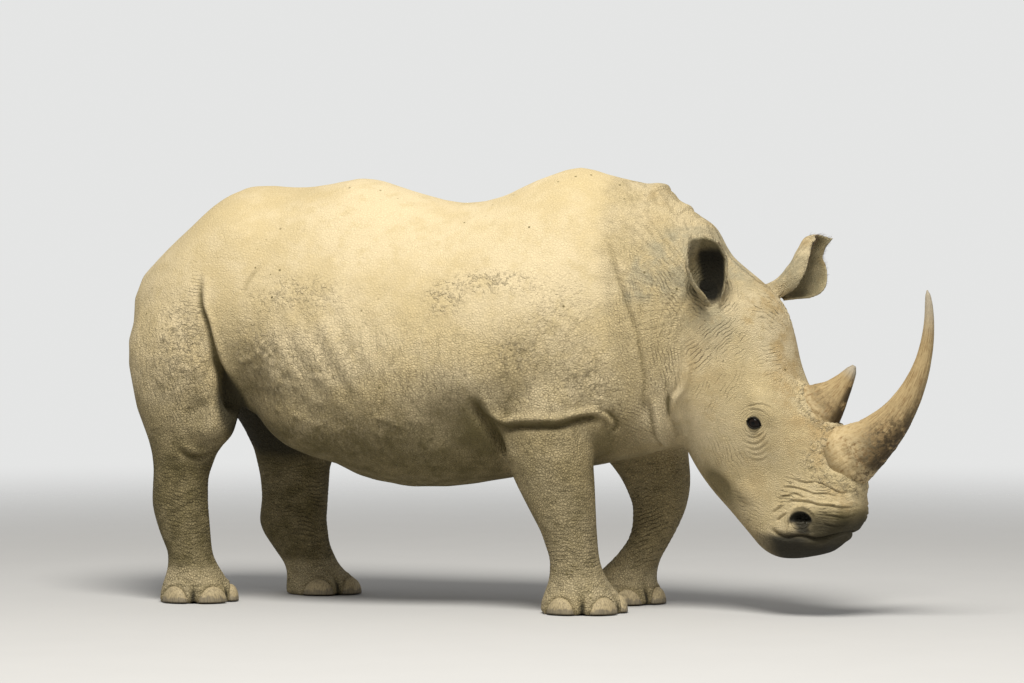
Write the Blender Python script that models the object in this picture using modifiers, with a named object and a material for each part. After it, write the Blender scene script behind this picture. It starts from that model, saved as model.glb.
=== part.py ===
"""A life-size standing white rhinoceros, modelled as a still museum model.

Frame: +X points to the head, +Y to the animal's left, +Z up, in metres. The floor is Z = 0, and
the origin lies on it under the middle of the model's box.

The flesh is one soft form: lofts of the trunk, head and legs are fused, smoothed, swollen where
muscle and bone show, thinned to facets, and then parted with thin cuts into named pieces. The
tail, horns, nails, ears and eyes are solids of their own, trimmed to meet the flesh.
"""

import math
from collections import namedtuple

import bmesh
import bpy
import numpy as np
from mathutils import Matrix, Vector

# ---------------------------------------------------------------------------
# Driving dimensions
# ---------------------------------------------------------------------------
GAP = 0.0005  # width of a parting cut
FUSE_VOXEL = 0.016  # cell of the grid that fuses the lofted forms
FUSE_ROUNDS = 7  # smoothing passes that melt the joins
SOLE_DEPTH = 0.05  # how far a leg is lofted below the floor before its sole is cut flat
FLESH_TRIANGLES = 3860  # facets of the whole fused body
HEAD_CARE = 0.02  # how much finer the head's facets stay
HEAD_WEIGHT = 0.1  # the head's share, against the body's 1, when facets are merged
HEAD_MIDDLE = (0.60, 0.0, -0.15)
HEAD_REACH = 0.48  # the head's facets stay fine this far from its middle
HEAD_BLEND = 0.20
LOFT_SIDES = 36
TAIL_SIDES = 8
LOFT_STEPS = 3  # rings between two rows of a table

HEAD_PIVOT = Vector((0.80, 0.0, 1.30))  # the joint of head and neck
HEAD_PITCH = math.radians(52)  # nose down
HEAD_YAW = math.radians(-12)  # turned a little to its right
HEAD_FRAME = (
    Matrix.Translation(HEAD_PIVOT)
    @ Matrix.Rotation(HEAD_YAW, 4, "Z")
    @ Matrix.Rotation(HEAD_PITCH, 4, "Y")
)

EYE_PLACE = (0.632, 0.180, -0.118)  # along, aside and above the head's axis
EYE_RADIUS = 0.028
EYE_DEPTH = 0.016  # how far the ball's centre lies under the skin
CLEAR_OF_HEAD = 0.5  # a point this far aside lies outside the head

# ---------------------------------------------------------------------------
# Tables of cross-sections. A loft runs smoothly from row to row.
# ---------------------------------------------------------------------------
Section = namedtuple("Section", "at top bottom half_width widest crown keel side")


def section(at, top, bottom, half_width, widest=0.5, crown=2.1, keel=2.3, side=0.0):
    """One oval cross-section. widest is the share of its depth below its broadest line."""
    return Section(at, top, bottom, half_width, bottom + widest * (top - bottom), crown, keel, side)


# Along X, upright: the spine, the belly line and half the width.
TRUNK = (
    section(-1.552, 1.20, 1.00, 0.06),
    section(-1.515, 1.275, 0.93, 0.20),
    section(-1.420, 1.375, 0.87, 0.325),
    section(-1.300, 1.480, 0.83, 0.385),
    section(-1.180, 1.592, 0.80, 0.415, 0.47, 1.9),
    section(-1.060, 1.630, 0.76, 0.43, 0.45, 1.9),
    section(-0.890, 1.615, 0.66, 0.455, 0.43, 1.9),
    section(-0.740, 1.635, 0.565, 0.480, 0.42, 1.9),
    section(-0.590, 1.658, 0.490, 0.495, 0.41, 1.85),
    section(-0.400, 1.603, 0.455, 0.500, 0.41, 1.9),
    section(-0.210, 1.562, 0.458, 0.495, 0.42, 1.95),
    section(-0.040, 1.582, 0.487, 0.475, 0.43, 1.9),
    section(0.120, 1.652, 0.515, 0.445, 0.45, 1.75),
    section(0.280, 1.697, 0.535, 0.410, 0.46, 1.7),
    section(0.430, 1.660, 0.565, 0.365, 0.46, 1.7),
    section(0.590, 1.620, 0.605, 0.315, 0.46, 1.7),
    section(0.710, 1.548, 0.640, 0.270, 0.47, 1.8),
    section(0.800, 1.480, 0.720, 0.225, 0.50, 1.9),
    section(0.890, 1.350, 0.860, 0.160, 0.52),
)

# Along the head's axis, square to it: crest, jaw line and half the width.
HEAD = (
    section(-0.120, 0.020, -0.250, 0.10),
    section(-0.040, 0.080, -0.330, 0.165),
    section(0.080, 0.118, -0.360, 0.185, 0.62),
    section(0.190, 0.150, -0.385, 0.190, 0.62),
    section(0.300, 0.163, -0.420, 0.190, 0.60),
    section(0.410, 0.125, -0.458, 0.192, 0.57),
    section(0.530, 0.068, -0.483, 0.194, 0.56, 2.4),
    section(0.660, 0.048, -0.490, 0.180, 0.57, 2.4),
    section(0.790, 0.060, -0.476, 0.150, 0.50, 2.3),
    section(0.910, 0.062, -0.458, 0.138, 0.42, 2.0, 2.6),
    section(1.000, 0.040, -0.438, 0.150, 0.40, 2.2, 2.9),
    section(1.070, -0.002, -0.392, 0.152, 0.44, 2.5, 3.0),
    section(1.118, -0.045, -0.318, 0.128, 0.50, 2.6, 2.8),
    section(1.142, -0.105, -0.250, 0.085, 0.50, 2.5, 2.5),
)


def level(height, front, back, half_width, side, squareness=2.2):
    """A level cross-section of a leg or the tail: its front and back edges and its middle's Y."""
    return section(-height, front, back, half_width, 0.5, squareness, squareness, side)


HIND_RIGHT = (
    level(1.34, -1.02, -1.28, 0.10, -0.19),
    level(1.19, -0.98, -1.43, 0.165, -0.225),
    level(1.03, -0.98, -1.500, 0.185, -0.240),
    level(0.88, -1.01, -1.490, 0.175, -0.255),
    level(0.74, -1.060, -1.452, 0.155, -0.265),
    level(0.61, -1.125, -1.402, 0.125, -0.270),
    level(0.50, -1.172, -1.388, 0.106, -0.270),
    level(0.38, -1.176, -1.398, 0.102, -0.268),
    level(0.27, -1.168, -1.368, 0.098, -0.265),
    level(0.17, -1.156, -1.326, 0.094, -0.265),
    level(0.10, -1.110, -1.340, 0.112, -0.265),
    level(0.04, -1.078, -1.358, 0.136, -0.265, 2.4),
    level(-SOLE_DEPTH, -1.072, -1.362, 0.140, -0.265, 2.4),
)

HIND_LEFT = (
    level(1.34, -0.98, -1.26, 0.10, 0.19),
    level(1.19, -0.93, -1.42, 0.165, 0.225),
    level(1.03, -0.88, -1.480, 0.185, 0.240),
    level(0.88, -0.85, -1.420, 0.175, 0.255),
    level(0.74, -0.850, -1.290, 0.160, 0.262),
    level(0.60, -0.868, -1.202, 0.132, 0.264),
    level(0.48, -0.880, -1.168, 0.114, 0.262),
    level(0.38, -0.886, -1.158, 0.106, 0.260),
    level(0.27, -0.888, -1.168, 0.100, 0.258),
    level(0.17, -0.866, -1.100, 0.095, 0.256),
    level(0.10, -0.826, -1.046, 0.108, 0.255),
    level(0.04, -0.770, -1.044, 0.134, 0.255, 2.4),
    level(-SOLE_DEPTH, -0.755, -1.045, 0.140, 0.255, 2.4),
)

FORE_RIGHT = (
    level(1.12, 0.38, 0.10, 0.09, -0.200),
    level(0.95, 0.43, 0.02, 0.145, -0.232),
    level(0.80, 0.430, 0.02, 0.158, -0.247),
    level(0.68, 0.412, 0.055, 0.150, -0.256),
    level(0.56, 0.415, 0.088, 0.136, -0.258),
    level(0.46, 0.421, 0.130, 0.122, -0.252),
    level(0.36, 0.424, 0.185, 0.110, -0.248),
    level(0.26, 0.430, 0.232, 0.099, -0.245),
    level(0.17, 0.444, 0.252, 0.099, -0.245),
    level(0.10, 0.485, 0.240, 0.122, -0.245),
    level(0.04, 0.524, 0.218, 0.147, -0.245, 2.4),
    level(-SOLE_DEPTH, 0.532, 0.213, 0.152, -0.245, 2.4),
)

FORE_LEFT = (
    level(1.12, 0.42, 0.12, 0.09, 0.200),
    level(0.95, 0.50, 0.07, 0.145, 0.228),
    level(0.80, 0.575, 0.12, 0.156, 0.240),
    level(0.68, 0.620, 0.21, 0.150, 0.245),
    level(0.57, 0.636, 0.310, 0.138, 0.243),
    level(0.46, 0.645, 0.390, 0.122, 0.238),
    level(0.37, 0.628, 0.425, 0.110, 0.234),
    level(0.27, 0.582, 0.412, 0.100, 0.231),
    level(0.18, 0.530, 0.350, 0.102, 0.229),
    level(0.10, 0.506, 0.268, 0.122, 0.228),
    level(0.04, 0.522, 0.242, 0.147, 0.228, 2.4),
    level(-SOLE_DEPTH, 0.530, 0.236, 0.152, 0.228, 2.4),
)

TAIL = (
    level(1.36, -1.36, -1.45, 0.048, 0.000),
    level(1.25, -1.48, -1.568, 0.043, 0.010),
    level(1.10, -1.541, -1.606, 0.034, 0.030),
    level(0.95, -1.548, -1.600, 0.027, 0.045),
    level(0.80, -1.530, -1.574, 0.022, 0.052),
    level(0.66, -1.500, -1.538, 0.019, 0.055),
)
TAIL_TUFT = (
    level(0.6595, -1.498, -1.540, 0.021, 0.055),
    level(0.60, -1.482, -1.535, 0.027, 0.056),
    level(0.52, -1.466, -1.514, 0.024, 0.057),
    level(0.44, -1.458, -1.484, 0.010, 0.058),
)

# ---------------------------------------------------------------------------
# Swells of muscle and bone, and hollows where push is negative. Each is made on both sides.
# ---------------------------------------------------------------------------
Swell = namedtuple("Swell", "centre reach push")

BODY_SWELLS = (
    Swell((-1.02, 0.34, 1.44), (0.10, 0.12, 0.08), 0.020),  # point of the hip
    Swell((-1.24, 0.42, 1.06), (0.14, 0.12, 0.18), 0.022),  # thigh
    Swell((-0.93, 0.45, 0.86), (0.07, 0.16, 0.17), -0.030),  # flank hollow
    Swell((0.16, 0.42, 1.16), (0.15, 0.15, 0.20), 0.022),  # shoulder blade
    Swell((0.03, 0.42, 0.90), (0.12, 0.14, 0.12), 0.015),  # elbow muscle
    Swell((-0.12, 0.42, 0.72), (0.10, 0.14, 0.14), -0.035),  # hollow behind the elbow
    Swell((0.50, 0.36, 1.10), (0.07, 0.20, 0.30), -0.018),  # hollow before the shoulder
    Swell((0.62, 0.00, 1.62), (0.05, 0.10, 0.05), 0.010),  # nape
)
HEAD_SWELLS = (
    Swell((0.36, 0.19, -0.26), (0.13, 0.10, 0.12), 0.018),  # cheek
    Swell((0.61, 0.16, -0.055), (0.07, 0.08, 0.035), 0.016),  # brow
    Swell((0.44, 0.17, 0.030), (0.09, 0.08, 0.05), -0.012),  # temple
    Swell((0.80, 0.15, -0.24), (0.09, 0.08, 0.10), -0.012),  # hollow before the cheek
    Swell((0.99, 0.15, -0.19), (0.045, 0.06, 0.045), 0.014),  # wing of the nostril
    Swell((1.13, 0.05, -0.24), (0.030, 0.08, 0.045), 0.008),  # lower lip
)


# ---------------------------------------------------------------------------
# Tools
# ---------------------------------------------------------------------------
def head_point(place, side=1):
    """A place (along, aside, above) in the head's own frame, on its left (1) or right (-1)."""
    return HEAD_FRAME @ Vector((place[0], side * place[1], place[2]))


# Where a point of a cross-section lies, from its place along the loft, across it and up it.
def upright(at, across, up, side):
    return Vector((at, side + across, up))


def in_head(at, across, up, side):
    return HEAD_FRAME @ Vector((at, side + across, up))


def on_leg(at, across, up, side):
    return Vector((up, side + across, -at))


def smooth_rows(rows):
    """The rows of a table with a cubic curve's values between them."""
    table = np.array(rows)
    at = table[:, 0]
    slope = np.gradient(table, at, axis=0)
    smooth = []
    for i, span in enumerate(np.diff(at)):
        for t in np.arange(LOFT_STEPS) / LOFT_STEPS:
            start = (2 * t**3 - 3 * t**2 + 1) * table[i] + (t**3 - 2 * t**2 + t) * span * slope[i]
            end = (3 * t**2 - 2 * t**3) * table[i + 1] + (t**3 - t**2) * span * slope[i + 1]
            smooth.append(Section(*(start + end)))
    smooth.append(Section(*table[-1]))
    return smooth


def ring_of(row, sides):
    """Offsets (across, up) round one oval: a crown above its broadest line and a keel below."""
    for k in range(sides):
        turn = 2 * math.pi * k / sides
        c, s = math.cos(turn), math.sin(turn)
        power = 2 / (row.crown if s > 0 else row.keel)
        radius = row.top - row.widest if s > 0 else row.widest - row.bottom
        across = row.half_width * math.copysign(abs(c) ** power, c)
        yield across, row.widest + radius * math.copysign(abs(s) ** power, s)


def loft(mesh, rows, place, sides=LOFT_SIDES):
    """Add to a bmesh the closed form through a table's ovals."""
    rings = [
        [mesh.verts.new(place(row.at, across, up, row.side)) for across, up in ring_of(row, sides)]
        for row in smooth_rows(rows)
    ]
    skin_rings(mesh, rings)


def skin_rings(mesh, rings):
    """Faces between neighbouring rings of vertices, and a cap on each end."""
    for lower, upper in zip(rings, rings[1:]):
        for k in range(len(lower)):
            j = (k + 1) % len(lower)
            mesh.faces.new((lower[k], lower[j], upper[j], upper[k]))
    mesh.faces.new(reversed(rings[0]))
    mesh.faces.new(rings[-1])


def finish_mesh(name, mesh, collection):
    """Turn a bmesh into an object whose faces all point out."""
    bmesh.ops.recalc_face_normals(mesh, faces=mesh.faces)
    data = bpy.data.meshes.new(name)
    mesh.to_mesh(data)
    mesh.free()
    obj = bpy.data.objects.new(name, data)
    collection.objects.link(obj)
    return obj


def lofted(name, rows, place, collection, sides=LOFT_SIDES):
    mesh = bmesh.new()
    loft(mesh, rows, place, sides)
    return finish_mesh(name, mesh, collection)


def bake(obj):
    """Apply an object's modifiers."""
    evaluated = obj.evaluated_get(bpy.context.evaluated_depsgraph_get())
    data = bpy.data.meshes.new_from_object(evaluated)
    obj.modifiers.clear()
    obj.data = data
    return obj


def copy_of(obj, name, collection):
    twin = bpy.data.objects.new(name, obj.data.copy())
    collection.objects.link(twin)
    return twin


def combine(obj, tool, operation):
    """Cut an object with another, or keep what they share, and apply it."""
    cut = obj.modifiers.new(operation.title(), "BOOLEAN")
    cut.operation = operation
    cut.object = tool
    cut.solver = "EXACT"
    return bake(obj)


def grown(obj, amount, tools):
    """A copy of a solid, fatter all round by an amount, to cut its neighbours with."""
    fat = copy_of(obj, f"grown_{obj.name}", tools)
    swell = fat.modifiers.new("Grow", "DISPLACE")
    swell.mid_level = 0
    swell.strength = amount
    return bake(fat)


# ---------------------------------------------------------------------------
# Flesh
# ---------------------------------------------------------------------------
def fused_flesh(collection):
    """Trunk, neck, head and legs as one soft body of even, small faces."""
    mesh = bmesh.new()
    loft(mesh, TRUNK, upright)
    loft(mesh, HEAD, in_head)
    for leg in (HIND_RIGHT, HIND_LEFT, FORE_RIGHT, FORE_LEFT):
        loft(mesh, leg, on_leg)
    body = finish_mesh("flesh", mesh, collection)
    fuse = body.modifiers.new("Fuse", "REMESH")
    fuse.mode = "VOXEL"
    fuse.voxel_size = FUSE_VOXEL
    melt = body.modifiers.new("Melt", "SMOOTH")
    melt.factor = 0.5
    melt.iterations = FUSE_ROUNDS
    return bake(body)


def swell_out(body):
    """Push the skin out along its normals over muscle and bone, and in over hollows."""
    data = body.data
    spots = np.array([v.co for v in data.vertices])
    normals = np.array([n.vector for n in data.vertex_normals])
    to_head = np.array(HEAD_FRAME.inverted())
    head_spots = spots @ to_head[:3, :3].T + to_head[:3, 3]
    moved = spots.copy()
    for swells, places in ((BODY_SWELLS, spots), (HEAD_SWELLS, head_spots)):
        for swell in swells:
            for side in (-1, 1):
                away = (places - np.array(swell.centre) * (1, side, 1)) / swell.reach
                push = swell.push * np.exp(-np.sum(away**2, axis=1))
                moved += normals * push[:, None]
    data.vertices.foreach_set("co", moved.ravel())
    data.update()


def thin_out(body):
    """Fewer, larger facets, which stay finer on the head."""
    middle = head_point(HEAD_MIDDLE)
    plain = body.vertex_groups.new(name="plain")
    for vertex in body.data.vertices:
        beyond = ((vertex.co - middle).length - HEAD_REACH) / HEAD_BLEND
        plain.add([vertex.index], min(max(beyond, HEAD_WEIGHT), 1.0), "REPLACE")
    triangles = sum(len(face.vertices) - 2 for face in body.data.polygons)
    thin = body.modifiers.new("Thin", "DECIMATE")
    thin.ratio = FLESH_TRIANGLES / triangles
    thin.use_collapse_triangulate = True
    thin.vertex_group = "plain"
    thin.vertex_group_factor = HEAD_CARE
    bake(body)
    body.vertex_groups.clear()


def keep_beyond(obj, point, normal):
    """Cut a solid with a plane, and keep and cap what lies on the normal's side."""
    mesh = bmesh.new()
    mesh.from_mesh(obj.data)
    everything = list(mesh.verts) + list(mesh.edges) + list(mesh.faces)
    cut = bmesh.ops.bisect_plane(
        mesh, geom=everything, dist=1e-6, plane_co=point, plane_no=normal, clear_inner=True
    )
    rim = [item for item in cut["geom_cut"] if isinstance(item, bmesh.types.BMEdge)]
    bmesh.ops.holes_fill(mesh, edges=rim, sides=0)
    bmesh.ops.recalc_face_normals(mesh, faces=mesh.faces)
    mesh.to_mesh(obj.data)
    mesh.free()


def slice_off(body, name, point, normal, collection):
    """Part what lies beyond a plane from a body, with a thin gap between them."""
    point, normal = Vector(point), Vector(normal).normalized()
    piece = copy_of(body, name, collection)
    keep_beyond(piece, point + normal * GAP / 2, normal)
    keep_beyond(body, point - normal * GAP / 2, -normal)
    return piece


def box_between(name, low, high, tools):
    mesh = bmesh.new()
    bmesh.ops.create_cube(mesh, size=1)
    place = Matrix.LocRotScale((low + high) / 2, None, high - low)
    bmesh.ops.transform(mesh, matrix=place, verts=mesh.verts)
    return finish_mesh(name, mesh, tools)


def part_off(body, name, low, high, collection, tools):
    """Part what lies inside an upright box from a body, with a thin gap between them."""
    room = Vector((GAP, GAP, GAP))
    inner = box_between(f"box_{name}", low, high, tools)
    outer = box_between(f"wide_box_{name}", low - room, high + room, tools)
    piece = combine(copy_of(body, name, collection), inner, "INTERSECT")
    combine(body, outer, "DIFFERENCE")
    return piece


# The upright box round each leg: its top, its back, its front and its distance from the middle.
LegBox = namedtuple("LegBox", "name side top back front inner")
LEG_BOXES = (
    LegBox("hind_right", -1, 0.70, -1.60, -1.02, 0.06),
    LegBox("hind_left", 1, 0.68, -1.45, -0.83, 0.07),
    LegBox("fore_right", -1, 0.58, 0.04, 0.60, 0.10),
    LegBox("fore_left", 1, 0.58, 0.15, 0.70, 0.10),
)
FOOT_TOP = 0.135
FOOT_ROOM = 0.12  # how much further than the leg's box the foot's reaches
FOOT_SPREAD = 0.05
OUTER_REACH = 0.60  # how far out a leg's box reaches


def part_legs(body, collection, tools):
    """The foot and the leg above it of each side, parted with level cuts."""
    toe_room = Vector((FOOT_ROOM, FOOT_SPREAD, 0))
    for box in LEG_BOXES:
        inner, outer = box.side * box.inner, box.side * OUTER_REACH
        near, far = min(inner, outer), max(inner, outer)
        low, high = Vector((box.back, near, -SOLE_DEPTH)), Vector((box.front, far, FOOT_TOP))
        part_off(body, f"{box.name}_foot", low - toe_room, high + toe_room, collection, tools)
        low.z, high.z = FOOT_TOP + GAP, box.top
        part_off(body, f"{box.name}_leg", low, high, collection, tools)


# Planes that part the body from nose to tail: a point on the cut and the way to the piece.
BODY_CUTS = (
    ("head", (0.795, 0.0, 1.10), (1.0, 0.0, -0.25)),
    ("neck", (0.50, 0.0, 1.10), (1.0, 0.0, 0.15)),
    ("forequarters", (-0.10, 0.0, 1.0), (1.0, 0.0, 0.0)),
    ("barrel", (-0.93, 0.0, 1.0), (1.0, 0.0, 0.12)),
)
MUZZLE_START = 0.90  # along the head
MOUTH_PLACE = (1.05, 0.0, -0.265)  # a point on the line between the lips
MOUTH_RISE = math.radians(55)  # how much the line climbs from the head's axis towards the front


def part_body(body, collection):
    """Head, muzzle, lower lip, neck, forequarters, barrel, and what is left: hindquarters."""
    pieces = {
        name: slice_off(body, name, point, way, collection) for name, point, way in BODY_CUTS
    }
    body.name = body.data.name = "hindquarters"
    turn = HEAD_FRAME.to_3x3()
    start = head_point((MUZZLE_START, 0.0, 0.0))
    muzzle = slice_off(pieces["head"], "muzzle", start, turn @ Vector((1, 0, 0)), collection)
    down = turn @ Vector((math.sin(MOUTH_RISE), 0, -math.cos(MOUTH_RISE)))
    slice_off(muzzle, "lower_lip", head_point(MOUTH_PLACE), down, collection)


# ---------------------------------------------------------------------------
# Tail, horns, ears, eyes and nails
# ---------------------------------------------------------------------------
Horn = namedtuple("Horn", "name root lean bend length flatness taper")
HORN_ROOT = 0.06  # how deep a horn's form starts inside the head
HORNS = (
    Horn(
        "front_horn", (0.918, 0.0, 0.066), math.radians(8), math.radians(73), 0.735, 0.86,
        ((0.0, 0.120), (0.07, 0.102), (0.22, 0.078), (0.36, 0.058), (0.50, 0.043),
         (0.65, 0.030), (0.80, 0.021), (0.93, 0.014), (1.0, 0.003)),
    ),
    Horn(
        "rear_horn", (0.700, 0.0, 0.062), 0.0, math.radians(22), 0.215, 0.62,
        ((0.0, 0.104), (0.2, 0.082), (0.45, 0.056), (0.7, 0.036), (0.9, 0.022), (1.0, 0.009)),
    ),
)
HORN_SIDES = 10
HORN_RINGS = 11


def horn(shape, collection):
    """A curved, tapering horn. lean and bend are angles in the head's upright middle plane."""
    mesh = bmesh.new()
    rings = []
    step = shape.length / HORN_RINGS
    shares, radii = zip(*shape.taper)
    along, above = shape.root[0], shape.root[2]
    along -= HORN_ROOT * math.sin(shape.lean)
    above -= HORN_ROOT * math.cos(shape.lean)
    for i in range(-1, HORN_RINGS + 1):
        share = max(i, 0) / HORN_RINGS
        heading = shape.lean - shape.bend * share
        radius = float(np.interp(share, shares, radii))
        ring = []
        for k in range(HORN_SIDES):
            turn = 2 * math.pi * k / HORN_SIDES
            ahead = radius * math.cos(turn)
            aside = radius * shape.flatness * math.sin(turn)
            place = (along + ahead * math.cos(heading), aside, above - ahead * math.sin(heading))
            ring.append(mesh.verts.new(head_point(place)))
        rings.append(ring)
        stride = HORN_ROOT if i < 0 else step
        along += stride * math.sin(heading)
        above += stride * math.cos(heading)
    skin_rings(mesh, rings)
    return finish_mesh(shape.name, mesh, collection)


# hook is how far the tip leans to one side of the ear's middle line.
Ear = namedtuple("Ear", "name root tip facing hook")
EARS = (
    Ear("ear_right", (0.170, -0.160, 0.050), (0.003, -0.295, 0.168), (0.15, -1.0, 0.25), -0.035),
    Ear("ear_left", (0.190, 0.120, 0.085), (0.175, 0.245, 0.385), (0.6, 0.8, 0.1), -0.030),
)
EAR_WALL = 0.010
EAR_ROWS = 7
EAR_COLUMNS = 8
# Along the ear: share of its length, radius of the cup, and half the angle that its wall spans.
EAR_CUP = ((0.0, 0.040, 165), (0.15, 0.044, 150), (0.4, 0.062, 118), (0.65, 0.068, 98),
           (0.85, 0.056, 85), (1.0, 0.012, 80))


def ear(shape, collection):
    """A cupped ear: a leaf of even thickness, rolled to a tube at its root."""
    root, tip = head_point(shape.root), head_point(shape.tip)
    axis = tip - root
    facing = HEAD_FRAME.to_3x3() @ Vector(shape.facing)
    facing = (facing - facing.project(axis)).normalized()
    aside = axis.cross(facing).normalized()
    shares, radii, spans = zip(*EAR_CUP)
    mesh = bmesh.new()
    rows = []
    for i in range(EAR_ROWS + 1):
        share = i / EAR_ROWS
        radius = float(np.interp(share, shares, radii))
        span = math.radians(float(np.interp(share, shares, spans)))
        middle = root + axis * share + aside * shape.hook * share**2
        row = []
        for k in range(EAR_COLUMNS + 1):
            turn = span * (2 * k / EAR_COLUMNS - 1)
            row.append(mesh.verts.new(
                middle - facing * radius * math.cos(turn) + aside * radius * math.sin(turn)
            ))
        rows.append(row)
    for lower, upper in zip(rows, rows[1:]):
        for k in range(EAR_COLUMNS):
            mesh.faces.new((lower[k], lower[k + 1], upper[k + 1], upper[k]))
    leaf = finish_mesh(shape.name, mesh, collection)
    wall = leaf.modifiers.new("Wall", "SOLIDIFY")
    wall.thickness = EAR_WALL
    wall.offset = 0
    return bake(leaf)


def eye_place(flesh, side):
    """The centre of an eyeball, a little under the skin of the finished head."""
    outside = head_point((EYE_PLACE[0], CLEAR_OF_HEAD, EYE_PLACE[2]), side)
    inward = HEAD_FRAME.to_3x3() @ Vector((0, -side, 0))
    found, place, normal, _ = flesh.ray_cast(outside, inward)
    if not found:
        raise RuntimeError("no skin where the eye belongs")
    return place - normal * EYE_DEPTH


def ball(name, centre, radius, collection):
    mesh = bmesh.new()
    bmesh.ops.create_uvsphere(mesh, u_segments=10, v_segments=7, radius=radius)
    bmesh.ops.translate(mesh, vec=centre, verts=mesh.verts)
    return finish_mesh(name, mesh, collection)


# Each foot: the middle of its sole and half its length. The nails stand round its front, which
# on the right feet is turned outward.
FEET = {
    "hind_right": (-1.217, -0.265, 0.145),
    "hind_left": (-0.900, 0.255, 0.145),
    "fore_right": (0.372, -0.245, 0.158),
    "fore_left": (0.383, 0.228, 0.148),
}
NAIL_TURNS = {"middle": 0, "inner": 68, "outer": -68}  # degrees inward from the middle nail
TOE_OUT = {"hind_right": 40, "hind_left": -8, "fore_right": 38, "fore_left": 0}  # outward turn
NAIL_SIZE = Vector((0.032, 0.060, 0.062))  # half its depth, half its width and its height
NAIL_LIFT = 0.004  # a nail's edge stops this far above the floor
NAIL_INSET = 0.012  # how far a nail's middle stands back from the foot's front
FOOT_BREADTH = 0.94  # a foot's width as a share of its length


def nail(name, foot, turn, side, collection):
    """One toenail: a low dome on the foot's edge with a level bottom."""
    x, y, reach = foot
    angle = side * math.radians(turn)
    centre = (
        x + (reach - NAIL_INSET) * math.cos(angle),
        y - (reach * FOOT_BREADTH - NAIL_INSET) * math.sin(angle),
        NAIL_LIFT,
    )
    mesh = bmesh.new()
    bmesh.ops.create_uvsphere(mesh, u_segments=8, v_segments=4, radius=1)
    place = Matrix.LocRotScale(centre, Matrix.Rotation(-angle, 3, "Z"), NAIL_SIZE)
    bmesh.ops.transform(mesh, matrix=place, verts=mesh.verts)
    dome = finish_mesh(name, mesh, collection)
    keep_beyond(dome, (0, 0, NAIL_LIFT), (0, 0, 1))
    return dome


# ---------------------------------------------------------------------------
# Finish
# ---------------------------------------------------------------------------
# Colour, roughness
FINISHES = {
    "hide": ((0.46, 0.36, 0.24), 0.9),
    "horn": ((0.33, 0.24, 0.15), 0.6),
    "nail": ((0.36, 0.28, 0.19), 0.6),
    "eye": ((0.02, 0.015, 0.01), 0.15),
    "hair": ((0.06, 0.05, 0.04), 0.8),
}


def material(name):
    colour, roughness = FINISHES[name]
    finish = bpy.data.materials.new(name)
    finish.use_nodes = True
    shader = finish.node_tree.nodes["Principled BSDF"]
    shader.inputs["Base Color"].default_value = (*colour, 1)
    shader.inputs["Roughness"].default_value = roughness
    shader.inputs["Metallic"].default_value = 0
    return finish


def finish_of(name):
    """The finish that a node of this name takes."""
    for word, finish in (("horn", "horn"), ("nail", "nail"), ("eye", "eye"), ("tuft", "hair")):
        if word in name:
            return finish
    return "hide"


def dress(collection):
    finishes = {name: material(name) for name in FINISHES}
    for obj in collection.objects:
        obj.data.materials.clear()
        obj.data.materials.append(finishes[finish_of(obj.name)])


def centre_on_floor(collection):
    """Move every mesh so that the middle of the whole model's box stands over the origin."""
    spots = [v.co for obj in collection.objects for v in obj.data.vertices]
    middle = [(min(p[i] for p in spots) + max(p[i] for p in spots)) / 2 for i in (0, 1)]
    for obj in collection.objects:
        obj.data.transform(Matrix.Translation((-middle[0], -middle[1], 0)))


def settle(obj):
    """Number a mesh's corners and faces by their place, so that each build gives the same mesh."""
    data = obj.data
    corners = [vertex.co[:] for vertex in data.vertices]
    order = sorted(range(len(corners)), key=lambda index: corners[index])
    rank = {old: new for new, old in enumerate(order)}
    faces = []
    for face in data.polygons:
        ring = [rank[index] for index in face.vertices]
        first = ring.index(min(ring))
        faces.append(ring[first:] + ring[:first])
    data.clear_geometry()
    data.from_pydata([corners[old] for old in order], [], sorted(faces))


def hide_tools(tools):
    for obj in tools.objects:
        obj.hide_render = True
        obj.display_type = "WIRE"


def add_collection(name):
    collection = bpy.data.collections.new(name)
    bpy.context.scene.collection.children.link(collection)
    return collection


def seat_eyes(body, rhino, tools):
    """Two eyeballs, each in a socket cut from the flesh."""
    for name, side in (("eye_right", -1), ("eye_left", 1)):
        centre = eye_place(body, side)
        ball(name, centre, EYE_RADIUS, rhino)
        combine(body, ball(f"socket_{name}", centre, EYE_RADIUS + GAP, tools), "DIFFERENCE")


def add_outgrowths(body, rhino, tools):
    """Horns, tail, ears and nails, trimmed where they meet the flesh."""
    trimmer = grown(body, GAP, tools)
    front_horn, rear_horn = (horn(shape, rhino) for shape in HORNS)
    combine(rear_horn, grown(front_horn, GAP, tools), "DIFFERENCE")
    added = [front_horn, rear_horn, lofted("tail_stem", TAIL, on_leg, rhino, TAIL_SIDES)]
    added += [ear(shape, rhino) for shape in EARS]
    for leg, foot in FEET.items():
        side = -1 if leg.endswith("right") else 1
        for toe, turn in NAIL_TURNS.items():
            added.append(nail(f"{leg}_nail_{toe}", foot, turn - TOE_OUT[leg], side, rhino))
    for piece in added:
        combine(piece, trimmer, "DIFFERENCE")
    lofted("tail_tuft", TAIL_TUFT, on_leg, rhino, TAIL_SIDES)


def main():
    for obj in list(bpy.data.objects):
        bpy.data.objects.remove(obj)
    rhino = add_collection("white_rhinoceros")
    tools = add_collection("tools")

    body = fused_flesh(rhino)
    swell_out(body)
    thin_out(body)
    keep_beyond(body, (0, 0, 0), (0, 0, 1))
    seat_eyes(body, rhino, tools)
    add_outgrowths(body, rhino, tools)
    part_legs(body, rhino, tools)
    part_body(body, rhino)
    centre_on_floor(rhino)
    for obj in rhino.objects:
        settle(obj)
    dress(rhino)
    hide_tools(tools)


main()
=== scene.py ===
import math
from collections import namedtuple

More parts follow.
